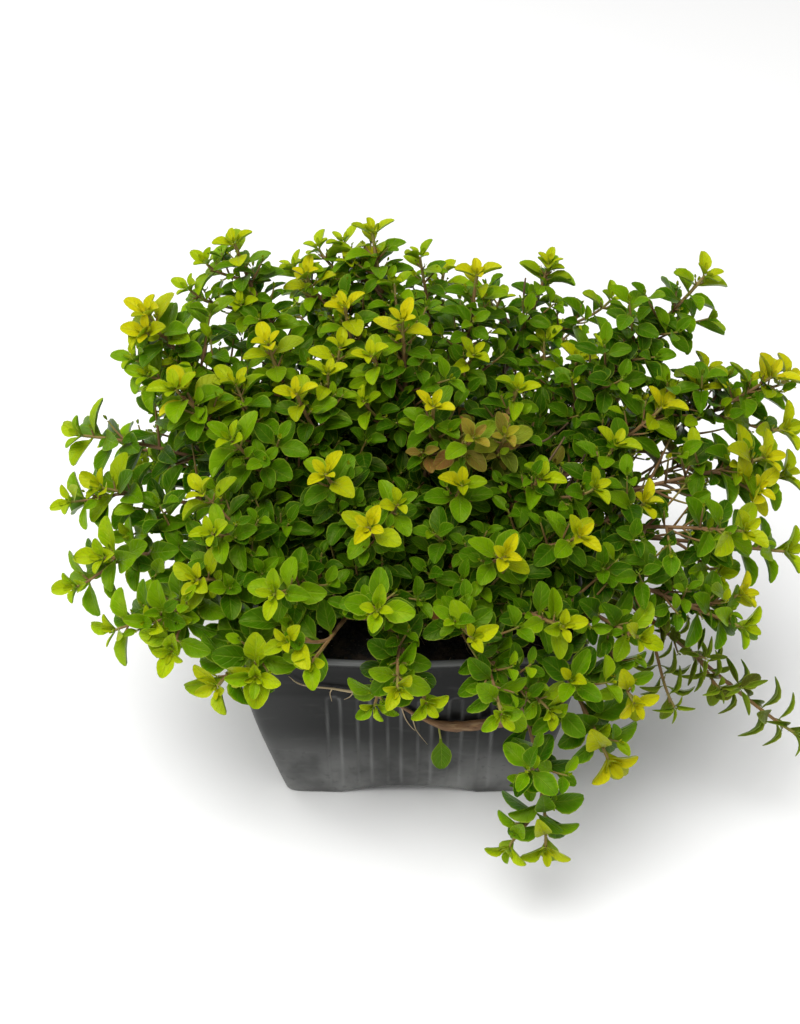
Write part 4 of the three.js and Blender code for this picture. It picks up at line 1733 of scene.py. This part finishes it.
class Crowding:
    """Remembers where leaves are, so that a new one can keep its distance."""

    def __init__(self, cell: float) -> None:
        """Starts empty, with cells of the least distance."""
        self.cell = cell
        self.cells: dict[tuple[int, int, int], list[np.ndarray]] = {}

    def key(self, point: np.ndarray) -> tuple[int, int, int]:
        """The cell that a point is in."""
        return tuple(int(math.floor(c / self.cell)) for c in point)

    def is_free(self, points: Iterable[np.ndarray]) -> bool:
        """Whether no remembered point is nearer than a cell's size.

        Args:
            points: The points to try.

        Returns:
            True if there is room.
        """
        for point in points:
            i, j, k = self.key(point)
            for x in (i - 1, i, i + 1):
                for y in (j - 1, j, j + 1):
                    for z in (k - 1, k, k + 1):
                        for other in self.cells.get((x, y, z), ()):
                            if float(np.sum((point - other) ** 2)) < self.cell**2:
                                return False
        return True

    def remember(self, points: Iterable[np.ndarray]) -> None:
        """Takes points in."""
        for point in points:
            self.cells.setdefault(self.key(point), []).append(point)


@dataclass(frozen=True)
class Pair:
    """Two opposite leaves: how far behind the tip, how long, how steep, and how young, lowered as painted
    shade on twigs deep in the plant.
    """

    back: float
    length: float
    rise: float
    age: float
    shape: Blade = Blade.GROWN


@dataclass(frozen=True)
class Window:
    """A part of the photograph's view, in millimetres: its sides, and its heights above the front lip."""

    left: float
    right: float
    low: float
    high: float

    def holds(self, points: np.ndarray) -> np.ndarray:
        """Which points are seen in it.

        Args:
            points: One row for each point, from the middle of the pot's foot.

        Returns:
            True for those that are.
        """
        x, level = points[:, 0], sight(points)
        return (x > self.left) & (x < self.right) & (level > self.low) & (level < self.high)


@dataclass(frozen=True)
class KeptClear:
    """The room that leaves keep out of: the floor, the pot's wall and lip, and the mix, in millimetres."""

    floor: float = 0.8
    foot_half: float = 36.5
    flare: float = 8.2  # how much wider the wall is at the band
    band_height: float = 46
    lip_out: float = 1.6
    gap: float = 0.8
    outside_top: float = 52  # below this a leaf stays outside the wall
    rim_top: float = 61.2
    well_half: float = 41.0
    mix_top: float = 54.2

    def misses(self, points: np.ndarray) -> bool:
        """Whether points are clear of it.

        Args:
            points: The points, from the middle of the pot's foot.

        Returns:
            True if all are.
        """
        for x, y, z in points:
            reach = max(abs(x), abs(y))
            wall = self.foot_half + self.flare * min(max(z, 0), self.band_height) / self.band_height
            wall = wall + (self.lip_out if z > self.band_height else 0) + self.gap
            in_wall = z < self.rim_top and self.well_half < reach < wall
            in_mix = z < self.mix_top and reach <= self.well_half
            if z < self.floor or in_wall or in_mix or (z < self.outside_top and reach < wall):
                return False
        return True


@dataclass
class Stem:
    """One leafy stem as it grows: its line and draw, and the leaves and twigs that it has so far."""

    node: str
    number: int
    line: StemLine
    tint: Tint
    size: float = 1.0
    thick: float = 0.92
    habit: Habit = Habit.BUSHY
    lowest: float = -math.inf  # how low its leaves may hang, as sight() measures
    leaves: list[Leaf] = field(default_factory=list)
    twigs: list[StemLine] = field(default_factory=list)

    def __post_init__(self) -> None:
        """Starts the stem's own draw and turns its leaf pairs."""
        self.rng = random.Random(700 + self.number)
        self.roll = 45 * wobble(self.number, 5)

    @property
    def is_main(self) -> bool:
        """Whether it is a shoot's own stem and no side branch."""
        return self.thick > 0.6


@dataclass
class Thyme:
    """All the leafy shoots, each one standing in for its CAD node on the same stem and leaf places."""

    centre: np.ndarray
    crowd: Crowding = field(default_factory=lambda: Crowding(1.35))
    clear: KeptClear = KeptClear()
    root_level: float = 46.4
    mound_middle: tuple[float, float, float] = (5, 0, 50)
    mound_reach: tuple[float, float, float] = (95, 72, 76)
    shade: float = 0.32  # how much painted shade darkens the leaves deep in the mound
    folded_share: float = 0.22
    curled_share: float = 0.75  # of a dry shoot's leaves
    withered_share: float = 0.05
    thin_share: float = 0.94  # of the leaves that are left out in the thin places
    thin_places: tuple[Window, ...] = (
        Window(57, 74, 36, 69),
        Window(58, 70, 69, 77),
        Window(73, 83, 73, 83),
        Window(-80, -65, 76, 88),
        Window(37, 46, 55, 70),
    )
    mix_windows: tuple[Window, ...] = (Window(-24, -10, 1.5, 14), Window(4, 15, 1.5, 8))
    tip_pairs: tuple[Pair, ...] = (
        Pair(0.8, 6.8, 34, 0.95, Blade.YOUNG),
        Pair(3.6, 8.6, 16, 0.80),
        Pair(12.0, 9.4, 10, 0.50),
    )
    bud_pairs: tuple[Pair, ...] = (
        Pair(0.4, 4.8, 38, 1.0, Blade.YOUNG),
        Pair(0.1, 3.0, 46, 1.0, Blade.BUD),
        Pair(0.0, 1.6, 66, 1.0, Blade.BUD),
    )
    between: tuple[Pair, ...] = (Pair(6.4, 9.0, 14, 0.64), Pair(9.2, 9.2, 11, 0.56))
    lower_backs: tuple[float, ...] = (16.8, 21.5, 26.5, 31.5, 37.0, 42.5, 48.0, 54.0, 60.0, 67.0, 74.0, 82.0)
    twig_pairs: tuple[Pair, ...] = (
        Pair(0.0, 2.2, 70, 0.92, Blade.BUD),
        Pair(0.3, 4.0, 54, 0.88, Blade.YOUNG),
        Pair(1.2, 6.0, 34, 0.76, Blade.YOUNG),
        Pair(4.2, 7.4, 18, 0.58),
        Pair(8.4, 7.8, 12, 0.42),
        Pair(12.8, 7.4, 10, 0.32),
    )

    def __post_init__(self) -> None:
        """Models the blades that every leaf is copied from, and makes the two finishes."""
        shapes = {
            Blade.GROWN: LeafShape(cup=0.20, bow=0.040, droop=0.20, slender=0.94),
            Blade.YOUNG: LeafShape(cup=0.30, bow=0.035, droop=0.10, slender=0.88),
            Blade.BUD: LeafShape(cup=0.42, bow=-0.030, droop=-0.25, slender=0.74),
            Blade.FOLDED: LeafShape(cup=0.42, bow=0.030, droop=0.30, slender=0.80),
            Blade.CURLED: LeafShape(cup=0.60, bow=0.10, droop=0.85, slender=0.34),
        }
        self.blades = {blade: shape.build() for blade, shape in shapes.items()}
        self.hair = build_hair()
        self.materials = [LeafFinish().make(), StemFinish().make()]

    def stem_line(self, plan: ShootPlan) -> StemLine:
        """The middle line of a shoot's stem, by the CAD source's rule.

        Args:
            plan: The shoot.

        Returns:
            Its line.
        """
        tip = np.array(plan.tip, float)
        root = np.array([tip[0] * 0.3, tip[1] * 0.3, self.root_level])
        reach = float(np.linalg.norm(tip - root))
        out = unit(np.array([tip[0] - root[0], tip[1] - root[1], 0.0]))
        side = np.cross(UP, out)
        bend = plan.bend if plan.bend is not None else 0.05 * wobble(1, tip[0])
        climb = plan.climb if plan.climb else 0.42 * reach + 0.8 * max(0.0, 75 - tip[2])
        behind = tip - tilted(out, UP, plan.lift) * 0.4 * reach + side * bend * reach
        return StemLine(cubic(root, root + UP * climb, behind, tip, 41))

    def bough_line(self, parent: StemLine, plan: BoughPlan) -> StemLine:
        """The middle line of a side branch, which leaves its shoot where it can fork off forwards.

        Args:
            parent: The shoot's line.
            plan: The branch.

        Returns:
            Its line.
        """
        tip = np.array(plan.tip, float)
        gaps = tip - parent.points
        reach = np.linalg.norm(gaps, axis=1)
        turn = np.degrees(np.arccos(np.clip(np.sum(gaps * parent.tangents, axis=1) / reach, -1, 1)))
        too_near_tip = np.where(parent.length - parent.lengths < 8, 40, 0)
        k = int(np.argmin(np.abs(turn - 35) + reach * 0.9 + too_near_tip))
        start = parent.points[k]
        out = unit(np.array([tip[0] - start[0], tip[1] - start[1], 0.0]))
        near = start + unit(parent.tangents[k] + 0.6 * unit(gaps[k])) * 0.38 * reach[k]
        behind = tip - tilted(out, UP, plan.lift) * 0.35 * reach[k]
        return StemLine(cubic(start, near, behind, tip, 17))

    def hides_mix(self, points: np.ndarray) -> bool:
        """Whether any point is in front of a place at the rim where the mix shows."""
        return any(np.any(window.holds(points)) for window in self.mix_windows)

    def in_thin_place(self, points: np.ndarray) -> bool:
        """Whether the middle of some points is in front of a place where the plant is thin.

        Args:
            points: The points, in millimetres from the middle of the pot's foot.

        Returns:
            True if it is.
        """
        middle = points.mean(axis=0)[None]
        return any(window.holds(middle)[0] for window in self.thin_places)

    def leaf(
        self, stem: Stem, line: StemLine, pair: Pair, angle: float, rise: float, size: float
    ) -> Leaf:
        """Works out one leaf of a pair.

        Args:
            stem: The stem that it belongs to.
            line: The line it grows on, the stem's own or a twig's.
            pair: The pair.
            angle: Degrees round the line.
            rise: Degrees above the plane across the line.
            size: A factor on its length.

        Returns:
            The leaf.
        """
        rng = stem.rng
        point, axis, outward = line.outward(pair.back, angle)
        ahead = tilted(outward, axis, rise)
        face = tilted(axis, outward, -rise)
        face = unit(tilted(face, np.cross(face, ahead), rng.gauss(0, 8)))
        # Painted shade: leaves deep in the mound are darkened towards the older greens.
        within = float(np.linalg.norm((point - self.mound_middle) / self.mound_reach))
        shade = self.shade * float(smoothstep(0.95, 0.45, np.array(within)))
        tone = min(1.0, max(0.0, pair.age + rng.gauss(0, 0.06) - shade))
        young = float(smoothstep(0.62, 0.95, np.array(tone)))
        gold, russet = stem.tint.value
        shape, length = pair.shape, pair.length * size * stem.size
        if shape == Blade.GROWN and rng.random() < self.folded_share:
            shape = Blade.FOLDED
        dry = stem.habit.dry
        if dry and rng.random() < self.curled_share:
            shape, length = Blade.CURLED, length * 1.1
        withered = rng.random() < self.withered_share and pair.age < 0.3
        return Leaf(
            seat=point + ahead * 0.25,
            ahead=ahead,
            face=face,
            length=length,
            breadth=rng.uniform(0.88, 1.14),
            curl=rng.uniform(0.6, 1.5),
            shape=shape,
            age=tone * (0.72 if dry else 1.0),
            gold=gold * young * rng.uniform(0.7, 1.0),
            russet=0.85 if withered else russet * rng.random() + (0.22 if dry else 0.0),
            seed=rng.uniform(-1, 1),
        )

    def try_leaf(self, stem: Stem, leaf: Leaf, must: bool = False) -> bool:
        """Keeps a leaf if it has room.

        Args:
            stem: The stem that it belongs to.
            leaf: The new leaf.
            must: Whether it is kept in any case.

        Returns:
            True if it was kept.
        """
        samples = leaf.samples()
        if self.hides_mix(samples):
            return False
        if not must:
            if self.in_thin_place(samples) and stem.rng.random() < self.thin_share:
                return False
            high_enough = sight(samples).min() > stem.lowest
            if not (high_enough and self.clear.misses(samples) and self.crowd.is_free(samples)):
                return False
        self.crowd.remember(samples)
        stem.leaves.append(leaf)
        return True

    def grow_tip(self, stem: Stem) -> None:
        """Grows the rosette at a stem's tip: the leaf pairs that the CAD shoot has too, and the buds in them.

        Args:
            stem: The stem.
        """
        for k, pair in enumerate(self.tip_pairs):
            if pair.back > stem.line.length - 3:
                break
            for way in (0, 180):
                rise = pair.rise + 8 * wobble(stem.number, 10 * k + way)
                size = 1 + 0.1 * wobble(stem.number, 10 * k + way + 1)
                turn = stem.roll + 45 + 90 * k + way
                self.try_leaf(stem, self.leaf(stem, stem.line, pair, turn, rise, size), must=True)
        for k, pair in enumerate(self.bud_pairs):
            for way in (0, 180):
                rise, turn = pair.rise + stem.rng.uniform(-6, 6), stem.roll - 45 - 90 * k + way
                stem.leaves.append(self.leaf(stem, stem.line, pair, turn, rise, 1))
        for k, pair in enumerate(self.between):
            for way in (0, 180):
                turn = stem.roll + 45 + 90 * k + way + stem.rng.uniform(-12, 12)
                size = stem.rng.uniform(0.85, 1.05)
                self.try_leaf(stem, self.leaf(stem, stem.line, pair, turn, pair.rise, size))

    def twig_line(
        self, line: StemLine, back: float, angle: float, rise: float, length: float, sag: float
    ) -> StemLine:
        """A side twig's middle line, which leaves the stem and bends up to the light.

        Args:
            line: The stem.
            back: Where it leaves, in millimetres behind the tip.
            angle: Degrees round the stem.
            rise: Degrees above the plane across the stem.
            length: Its length, in millimetres.
            sag: How far its end bends up, as a share of its length.

        Returns:
            Its line.
        """
        point, axis, outward = line.outward(back, angle)
        ahead = tilted(outward, axis, rise)
        t = np.linspace(0, 1, 9)[:, None]
        return StemLine(point + ahead * length * t + UP * sag * length * t**2)

    def grow_twig(self, stem: Stem, line: StemLine, roll: float, vigour: float, shade_factor: float) -> int:
        """Puts leaf pairs on a side twig from its tip back.

        Args:
            stem: The stem that bears it.
            line: The twig.
            roll: Degrees by which its pairs are turned.
            vigour: A factor on its leaves' length.
            shade_factor: A factor on how young the leaves look, less than 1 where painted shade darkens them
                deep in the plant.

        Returns:
            How many leaves were kept.
        """
        kept = 0
        for k, pair in enumerate(self.twig_pairs):
            if pair.back > line.length - 2.0:
                break
            shaded = Pair(pair.back, pair.length, pair.rise, pair.age * shade_factor, pair.shape)
            for way in (0, 180):
                for _ in range(2):
                    turn = roll + 90 * k + way + stem.rng.uniform(-14, 14)
                    rise = pair.rise + stem.rng.uniform(-9, 9)
                    made = self.leaf(stem, line, shaded, turn, rise, vigour * stem.rng.uniform(0.88, 1.1))
                    if self.try_leaf(stem, made, must=k == 0):
                        kept += 1
                        break
        return kept

    def build(self) -> list[bpy.types.Object]:
        """Grows every shoot: tips first, then lower leaves and twigs, so that the tips keep their places.

        Returns:
            One piece for each shoot.
        """
        stems = [self.main_stem(n, plan) for n, plan in enumerate(shoot_plans())]
        mains = {stem.node: stem for stem in stems}
        bare: list[tuple[str, StemLine]] = []
        for n, plan in enumerate(bough_plans(), 100):
            line = self.bough_line(mains[plan.parent].line, plan)
            if plan.bare:
                bare.append((plan.parent, line))
            else:
                parent = mains[plan.parent]
                size = parent.size * 0.94
                stems.append(Stem(plan.parent, n, line, plan.tint, size, 0.5, parent.habit, parent.lowest))
        for stem in stems:
            self.grow_tip(stem)
        for stem in mains.values():
            self.grow_cad_twig(stem)
        for stem in stems:
            self.grow_lower(stem)
        pieces = []
        for node in mains:
            own = [stem for stem in stems if stem.node == node]
            pieces.append(self.make_piece(node, own, [line for parent, line in bare if parent == node]))
        LOG.info("thyme: %d stems, %d leaves", len(stems), sum(len(stem.leaves) for stem in stems))
        return pieces

    def main_stem(self, number: int, plan: ShootPlan) -> Stem:
        """A shoot's main stem, ready to grow leaves.

        Args:
            number: The shoot's number.
            plan: The shoot.

        Returns:
            The stem.
        """
        size = SHOOT_SIZES.get(plan.node, ZONE_SIZES[plan.node.split("_")[1]])
        habit = HABITS.get(plan.node, Habit.BUSHY)
        lowest = SHOOT_LOWEST.get(plan.node, -math.inf)
        return Stem(plan.node, number, self.stem_line(plan), plan.tint, size, habit=habit, lowest=lowest)

    def grow_cad_twig(self, stem: Stem) -> None:
        """Grows the side twig that the CAD shoot has too.

        Args:
            stem: The stem.
        """
        angle = stem.roll + (135 if wobble(stem.number, 2) > 0 else -45)
        twig = self.twig_line(stem.line, 21, angle, 38, 15 + 3 * wobble(stem.number, 3), 0.0)
        stem.twigs.append(twig)
        # The 0.85 darkens this twig's leaves as painted shade.
        self.grow_twig(stem, twig, stem.roll + 45, 1.12, 0.85)

    def grow_lower(self, stem: Stem) -> None:
        """Grows the leaf pairs lower down, with the young shoots in their axils.

        Args:
            stem: The stem.
        """
        rng, line = stem.rng, stem.line
        nodes = [(3.6, 1), (7.6, 1.5), (12.0, 2)] + [(b, k + 3) for k, b in enumerate(self.lower_backs)]
        for back, k in nodes:
            if back > line.length - (9 if stem.is_main else 4):
                break
            deep = min(1.0, back / 70)
            if k >= 3:
                pair = Pair(back, 9.2 - 2.4 * deep, 14 - 6 * deep, 0.46 - 0.34 * deep)
                for way in (0, 180):
                    turn = stem.roll + 45 + 90 * k + way + rng.uniform(-12, 12)
                    rise = pair.rise + rng.uniform(-10, 10)
                    self.try_leaf(stem, self.leaf(stem, line, pair, turn, rise, 1))
            for way in (0, 180):
                reach = rng.uniform(0.35, 1.0) * min(18.0, 2.5 + 0.5 * back)
                if k == 1:
                    reach = 2.2
                angle = stem.roll + 45 + 90 * k + way + rng.uniform(-16, 16)
                rise, sag = 42 + rng.uniform(-10, 12), rng.uniform(0.0, 0.25)
                twig = self.twig_line(line, back, angle, rise, reach, sag)
                bare = twig.points[3:]
                if rng.random() > stem.habit.twiggy or self.hides_mix(bare) or not self.clear.misses(bare):
                    continue
                # Painted shade: leaves on twigs further down the stem are darkened.
                shade_factor = 1.0 - 0.42 * min(1.0, back / 55)
                if self.grow_twig(stem, twig, rng.uniform(0, 90), min(1.0, 0.42 + reach / 20), shade_factor):
                    stem.twigs.append(twig)

    def make_piece(self, node: str, stems: list[Stem], bare: list[StemLine]) -> bpy.types.Object:
        """Makes one mesh of a shoot's stems, twigs and leaves.

        Args:
            node: The shoot's CAD node.
            stems: Its main stem and its side branches.
            bare: Its branches without leaves.

        Returns:
            The piece.
        """
        batch = Batch()
        for stem in stems:
            for leaf in stem.leaves:
                batch.add_leaf(leaf, self.blades[leaf.shape])
            share = stem.line.lengths / stem.line.length
            end = 0.42 if stem.is_main else 0.34
            ages = 0.05 + 0.85 * share**2 if stem.is_main else 0.4 + 0.5 * share
            batch.add_tube(stem.line.points, stem.thick + (end - stem.thick) * share, 8, ages, 1)
            batch.add_hairs(stem.line, end, self.hair, stem.rng)
            for twig in stem.twigs:
                start = min(0.42, 0.2 + twig.length / 60)
                along = twig.lengths / twig.length
                batch.add_tube(twig.points, start + (0.22 - start) * along, 6, 0.45 + 0.5 * along, 1)
        for line in bare:
            batch.add_tube(line.points, np.linspace(0.5, 0.24, len(line.points)), 6, 0.0, 1)
        piece = batch.finish("leafy_" + node, self.centre)
        for material in self.materials:
            piece.data.materials.append(material)
        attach(piece, "root")
        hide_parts(node)
        return piece


# --- Runner on the pot's front ----------------------------------------------------------------------


@dataclass
class Runner:
    """An old bare stem that creeps over the rim and along the pot's front, with rootlets and one leaf."""

    centre: np.ndarray
    pot: Pot
    thyme: Thyme
    over_rim: tuple[tuple[float, float, float], ...] = (
        (30.0, -38.0, 50.5),
        (30.5, -42.5, 57.5),
        (31.0, -46.4, 61.7),
        (31.0, -49.0, 57.5),
        (30.5, -48.4, 49.0),
        (27.5, -46.9, 41.0),
    )
    along_wall: tuple[tuple[float, float, float], ...] = (  # across, up, and off the wall
        (21.2, 36.3, 1.3),
        (10.7, 35.6, 1.3),
        (4.0, 38.6, 1.0),
        (-3.0, 44.5, 0.9),
        (-10.0, 48.2, 0.8),
        (-16.0, 49.3, 0.9),
        (-20.5, 49.9, 0.7),
        (-26.0, 50.4, 0.7),
        (-29.0, 51.8, 0.9),
        (-31.0, 53.6, 0.6),
    )
    radii: tuple[float, ...] = (
        *(0.9, 0.9, 0.95, 1.0, 1.1, 1.3, 1.45, 1.4, 0.62, 0.36, 0.28, 0.34, 0.28, 0.22, 0.20, 0.10),
    )
    rootlets: tuple[tuple[tuple[float, float, float], ...], ...] = (
        ((0.5, 40.6, 0.9), (1.2, 36.0, 0.7), (2.0, 33.0, 0.9), (4.8, 26.5, 0.5)),
        ((-2.2, 43.8, 0.8), (-1.0, 38.0, 0.5), (0.6, 34.5, 0.7), (1.6, 32.8, 0.4)),
        ((-20.0, 49.8, 0.7), (-20.6, 47.6, 0.4), (-20.2, 45.0, 0.6)),
        ((-14.5, 49.1, 0.8), (-15.4, 46.9, 0.4), (-17.0, 45.8, 0.5)),
        ((-25.0, 50.3, 0.7), (-24.2, 51.9, 0.6), (-24.6, 53.0, 0.4)),
    )
    leaf_stalk: tuple[tuple[float, float, float], ...] = (
        *((7.6, 36.4, 1.2), (7.9, 33.5, 1.9), (8.2, 31.0, 1.8)),
    )

    def on_wall(self, places: Iterable[tuple[float, float, float]]) -> np.ndarray:
        """Turns places on the pot's front, across, up and off it, into points."""
        return np.array([(x, self.pot.front(x, z) - off, z) for x, z, off in places])

    def build(self) -> bpy.types.Object:
        """Models the runner with all that hangs from it.

        Returns:
            The piece.
        """
        batch = Batch()
        knots = np.concatenate([np.array(self.over_rim), self.on_wall(self.along_wall)])
        line = smooth_line(knots, 6)
        share = np.linspace(0, 1, len(line))
        radii = np.interp(share, np.linspace(0, 1, len(self.radii)), self.radii)
        knobs = np.array([1 + 0.10 * wobble(k, 8) for k in range(len(line))])
        ages = np.linspace(0.25, 0.5, len(line))
        batch.add_tube(line, radii * knobs, 8, ages, 1, smoothstep(0.55, 0.75, share))
        for places in self.rootlets:
            root = smooth_line(self.on_wall(places), 5)
            batch.add_tube(root, np.linspace(0.20, 0.07, len(root)), 6, 0.5, 1, 0.9)
        stalk = smooth_line(self.on_wall(self.leaf_stalk), 4)
        batch.add_tube(stalk, np.linspace(0.26, 0.30, len(stalk)), 6, 0.95, 1)
        ahead, front = unit(np.array([0.04, -0.12, -1.0])), np.array([0.1, -1.0, 0.12])
        face = unit(front - ahead * np.dot(front, ahead))
        hanging = Leaf(stalk[-1], ahead, face, length=10.6, breadth=0.92, curl=0.25, age=0.50)
        batch.add_leaf(hanging, self.thyme.blades[hanging.shape])
        piece = batch.finish("old_runner", self.centre)
        for material in self.thyme.materials:
            piece.data.materials.append(material)
        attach(piece, "root")
        return piece


def smooth_line(knots: np.ndarray, steps: int) -> np.ndarray:
    """A smooth line through knots.

    Args:
        knots: One row for each knot.
        steps: Points from each knot to the next.

    Returns:
        One row for each point.
    """
    slopes = np.gradient(knots, axis=0)
    points = [knots[:1]]
    for a, b, out, into in zip(knots, knots[1:], slopes, slopes[1:]):
        points.append(cubic(a, a + out / 3, b - into / 3, b, steps + 1)[1:])
    return np.concatenate(points)


# --- Studio -----------------------------------------------------------------------------------------


@dataclass
class Studio:
    """The pale floor, the soft lights, and the camera at the photograph's view."""

    centre: np.ndarray
    camera_place: tuple[float, float, float] = (-2.53, -361.47, 354.66)
    camera_tilt: float = 52.0  # degrees from straight down
    focal_pixels: float = 1698.5
    surround: float = 0.36  # the white world's strength
    lights: tuple[tuple[str, tuple[float, float, float], float, float], ...] = (
        ("key", (-0.32, -0.42, 1.5), 1.1, 26.3),
        ("fill", (0.75, -0.45, 0.55), 0.8, 1.5),
        ("rim", (-0.6, 0.5, 0.7), 0.6, 2.5),
        ("side", (-0.85, -0.40, 0.30), 0.5, 2.0),
    )

    def build(self) -> None:
        """Sets up floor, lights, world and camera."""
        self.lay_floor()
        for name, place, size, watts in self.lights:
            self.hang_light(name, place, size, watts)
        self.light_world()
        self.set_camera()

    def lay_floor(self) -> None:
        """A wide plain pale floor under the pot."""
        deselect_everything()
        bpy.ops.mesh.primitive_plane_add(size=8, location=(0, 0, 0))
        floor = bpy.context.object
        floor.name = "studio_floor"
        material, wiring, shader = new_material("pale_floor")
        clouds = wiring.noise(wiring.place(), 6.0, 2.0)
        dress(wiring, shader, wiring.mix(clouds, (0.86, 0.86, 0.86), (0.89, 0.89, 0.88)), 0.85)
        floor.data.materials.append(material)
        floor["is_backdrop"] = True

    def hang_light(self, name: str, place: tuple[float, float, float], size: float, watts: float) -> None:
        """Hangs a soft area light that points at the plant.

        Args:
            name: The light's name.
            place: Where, in metres.
            size: Its side, in metres.
            watts: Its power.
        """
        data = bpy.data.lights.new(name, "AREA")
        data.shape, data.size, data.energy = "SQUARE", size, watts
        light = bpy.data.objects.new(name, data)
        bpy.context.scene.collection.objects.link(light)
        light.location = place
        light.rotation_euler = (Vector((0, 0, 0.08)) - Vector(place)).to_track_quat("-Z", "Y").to_euler()

    def light_world(self) -> None:
        """A plain white surround."""
        world = bpy.data.worlds.new("studio_white")
        world.use_nodes = True
        surround = world.node_tree.nodes["Background"]
        surround.inputs["Color"].default_value = (1, 1, 1, 1)
        surround.inputs["Strength"].default_value = self.surround
        bpy.context.scene.world = world
        bpy.context.scene.view_settings.view_transform = "Standard"

    def set_camera(self) -> None:
        """Puts the camera where the photograph was taken from."""
        data = bpy.data.cameras.new("photo_view")
        data.sensor_width = 36
        data.lens = self.focal_pixels * 36 / PHOTO_LONG_SIDE
        data.clip_start = 0.01
        camera = bpy.data.objects.new("photo_view", data)
        bpy.context.scene.collection.objects.link(camera)
        camera.location = Vector(self.camera_place) * MM + Vector(self.centre)
        camera.rotation_euler = (math.radians(self.camera_tilt), 0, 0)
        bpy.context.scene.camera = camera


def main() -> None:
    """Builds the studio and the potted thyme, piece by piece."""
    logging.basicConfig(level=logging.INFO, format="%(name)s: %(message)s")
    deselect_everything()
    low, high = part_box("pot")
    centre = np.array([(low.x + high.x) / 2, (low.y + high.y) / 2, 0.0])
    Studio(centre).build()
    pot = Pot()
    LOG.info("built %s", pot.build(centre).name)
    for piece in PottingMix().build(centre, pot):
        LOG.info("built %s", piece.name)
    thyme = Thyme(centre)
    for piece in thyme.build():
        LOG.info("built %s with %d faces", piece.name, len(piece.data.polygons))
    LOG.info("built %s", Runner(centre, pot, thyme).build().name)
    low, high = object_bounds()


if __name__ == "__main__":
    main()
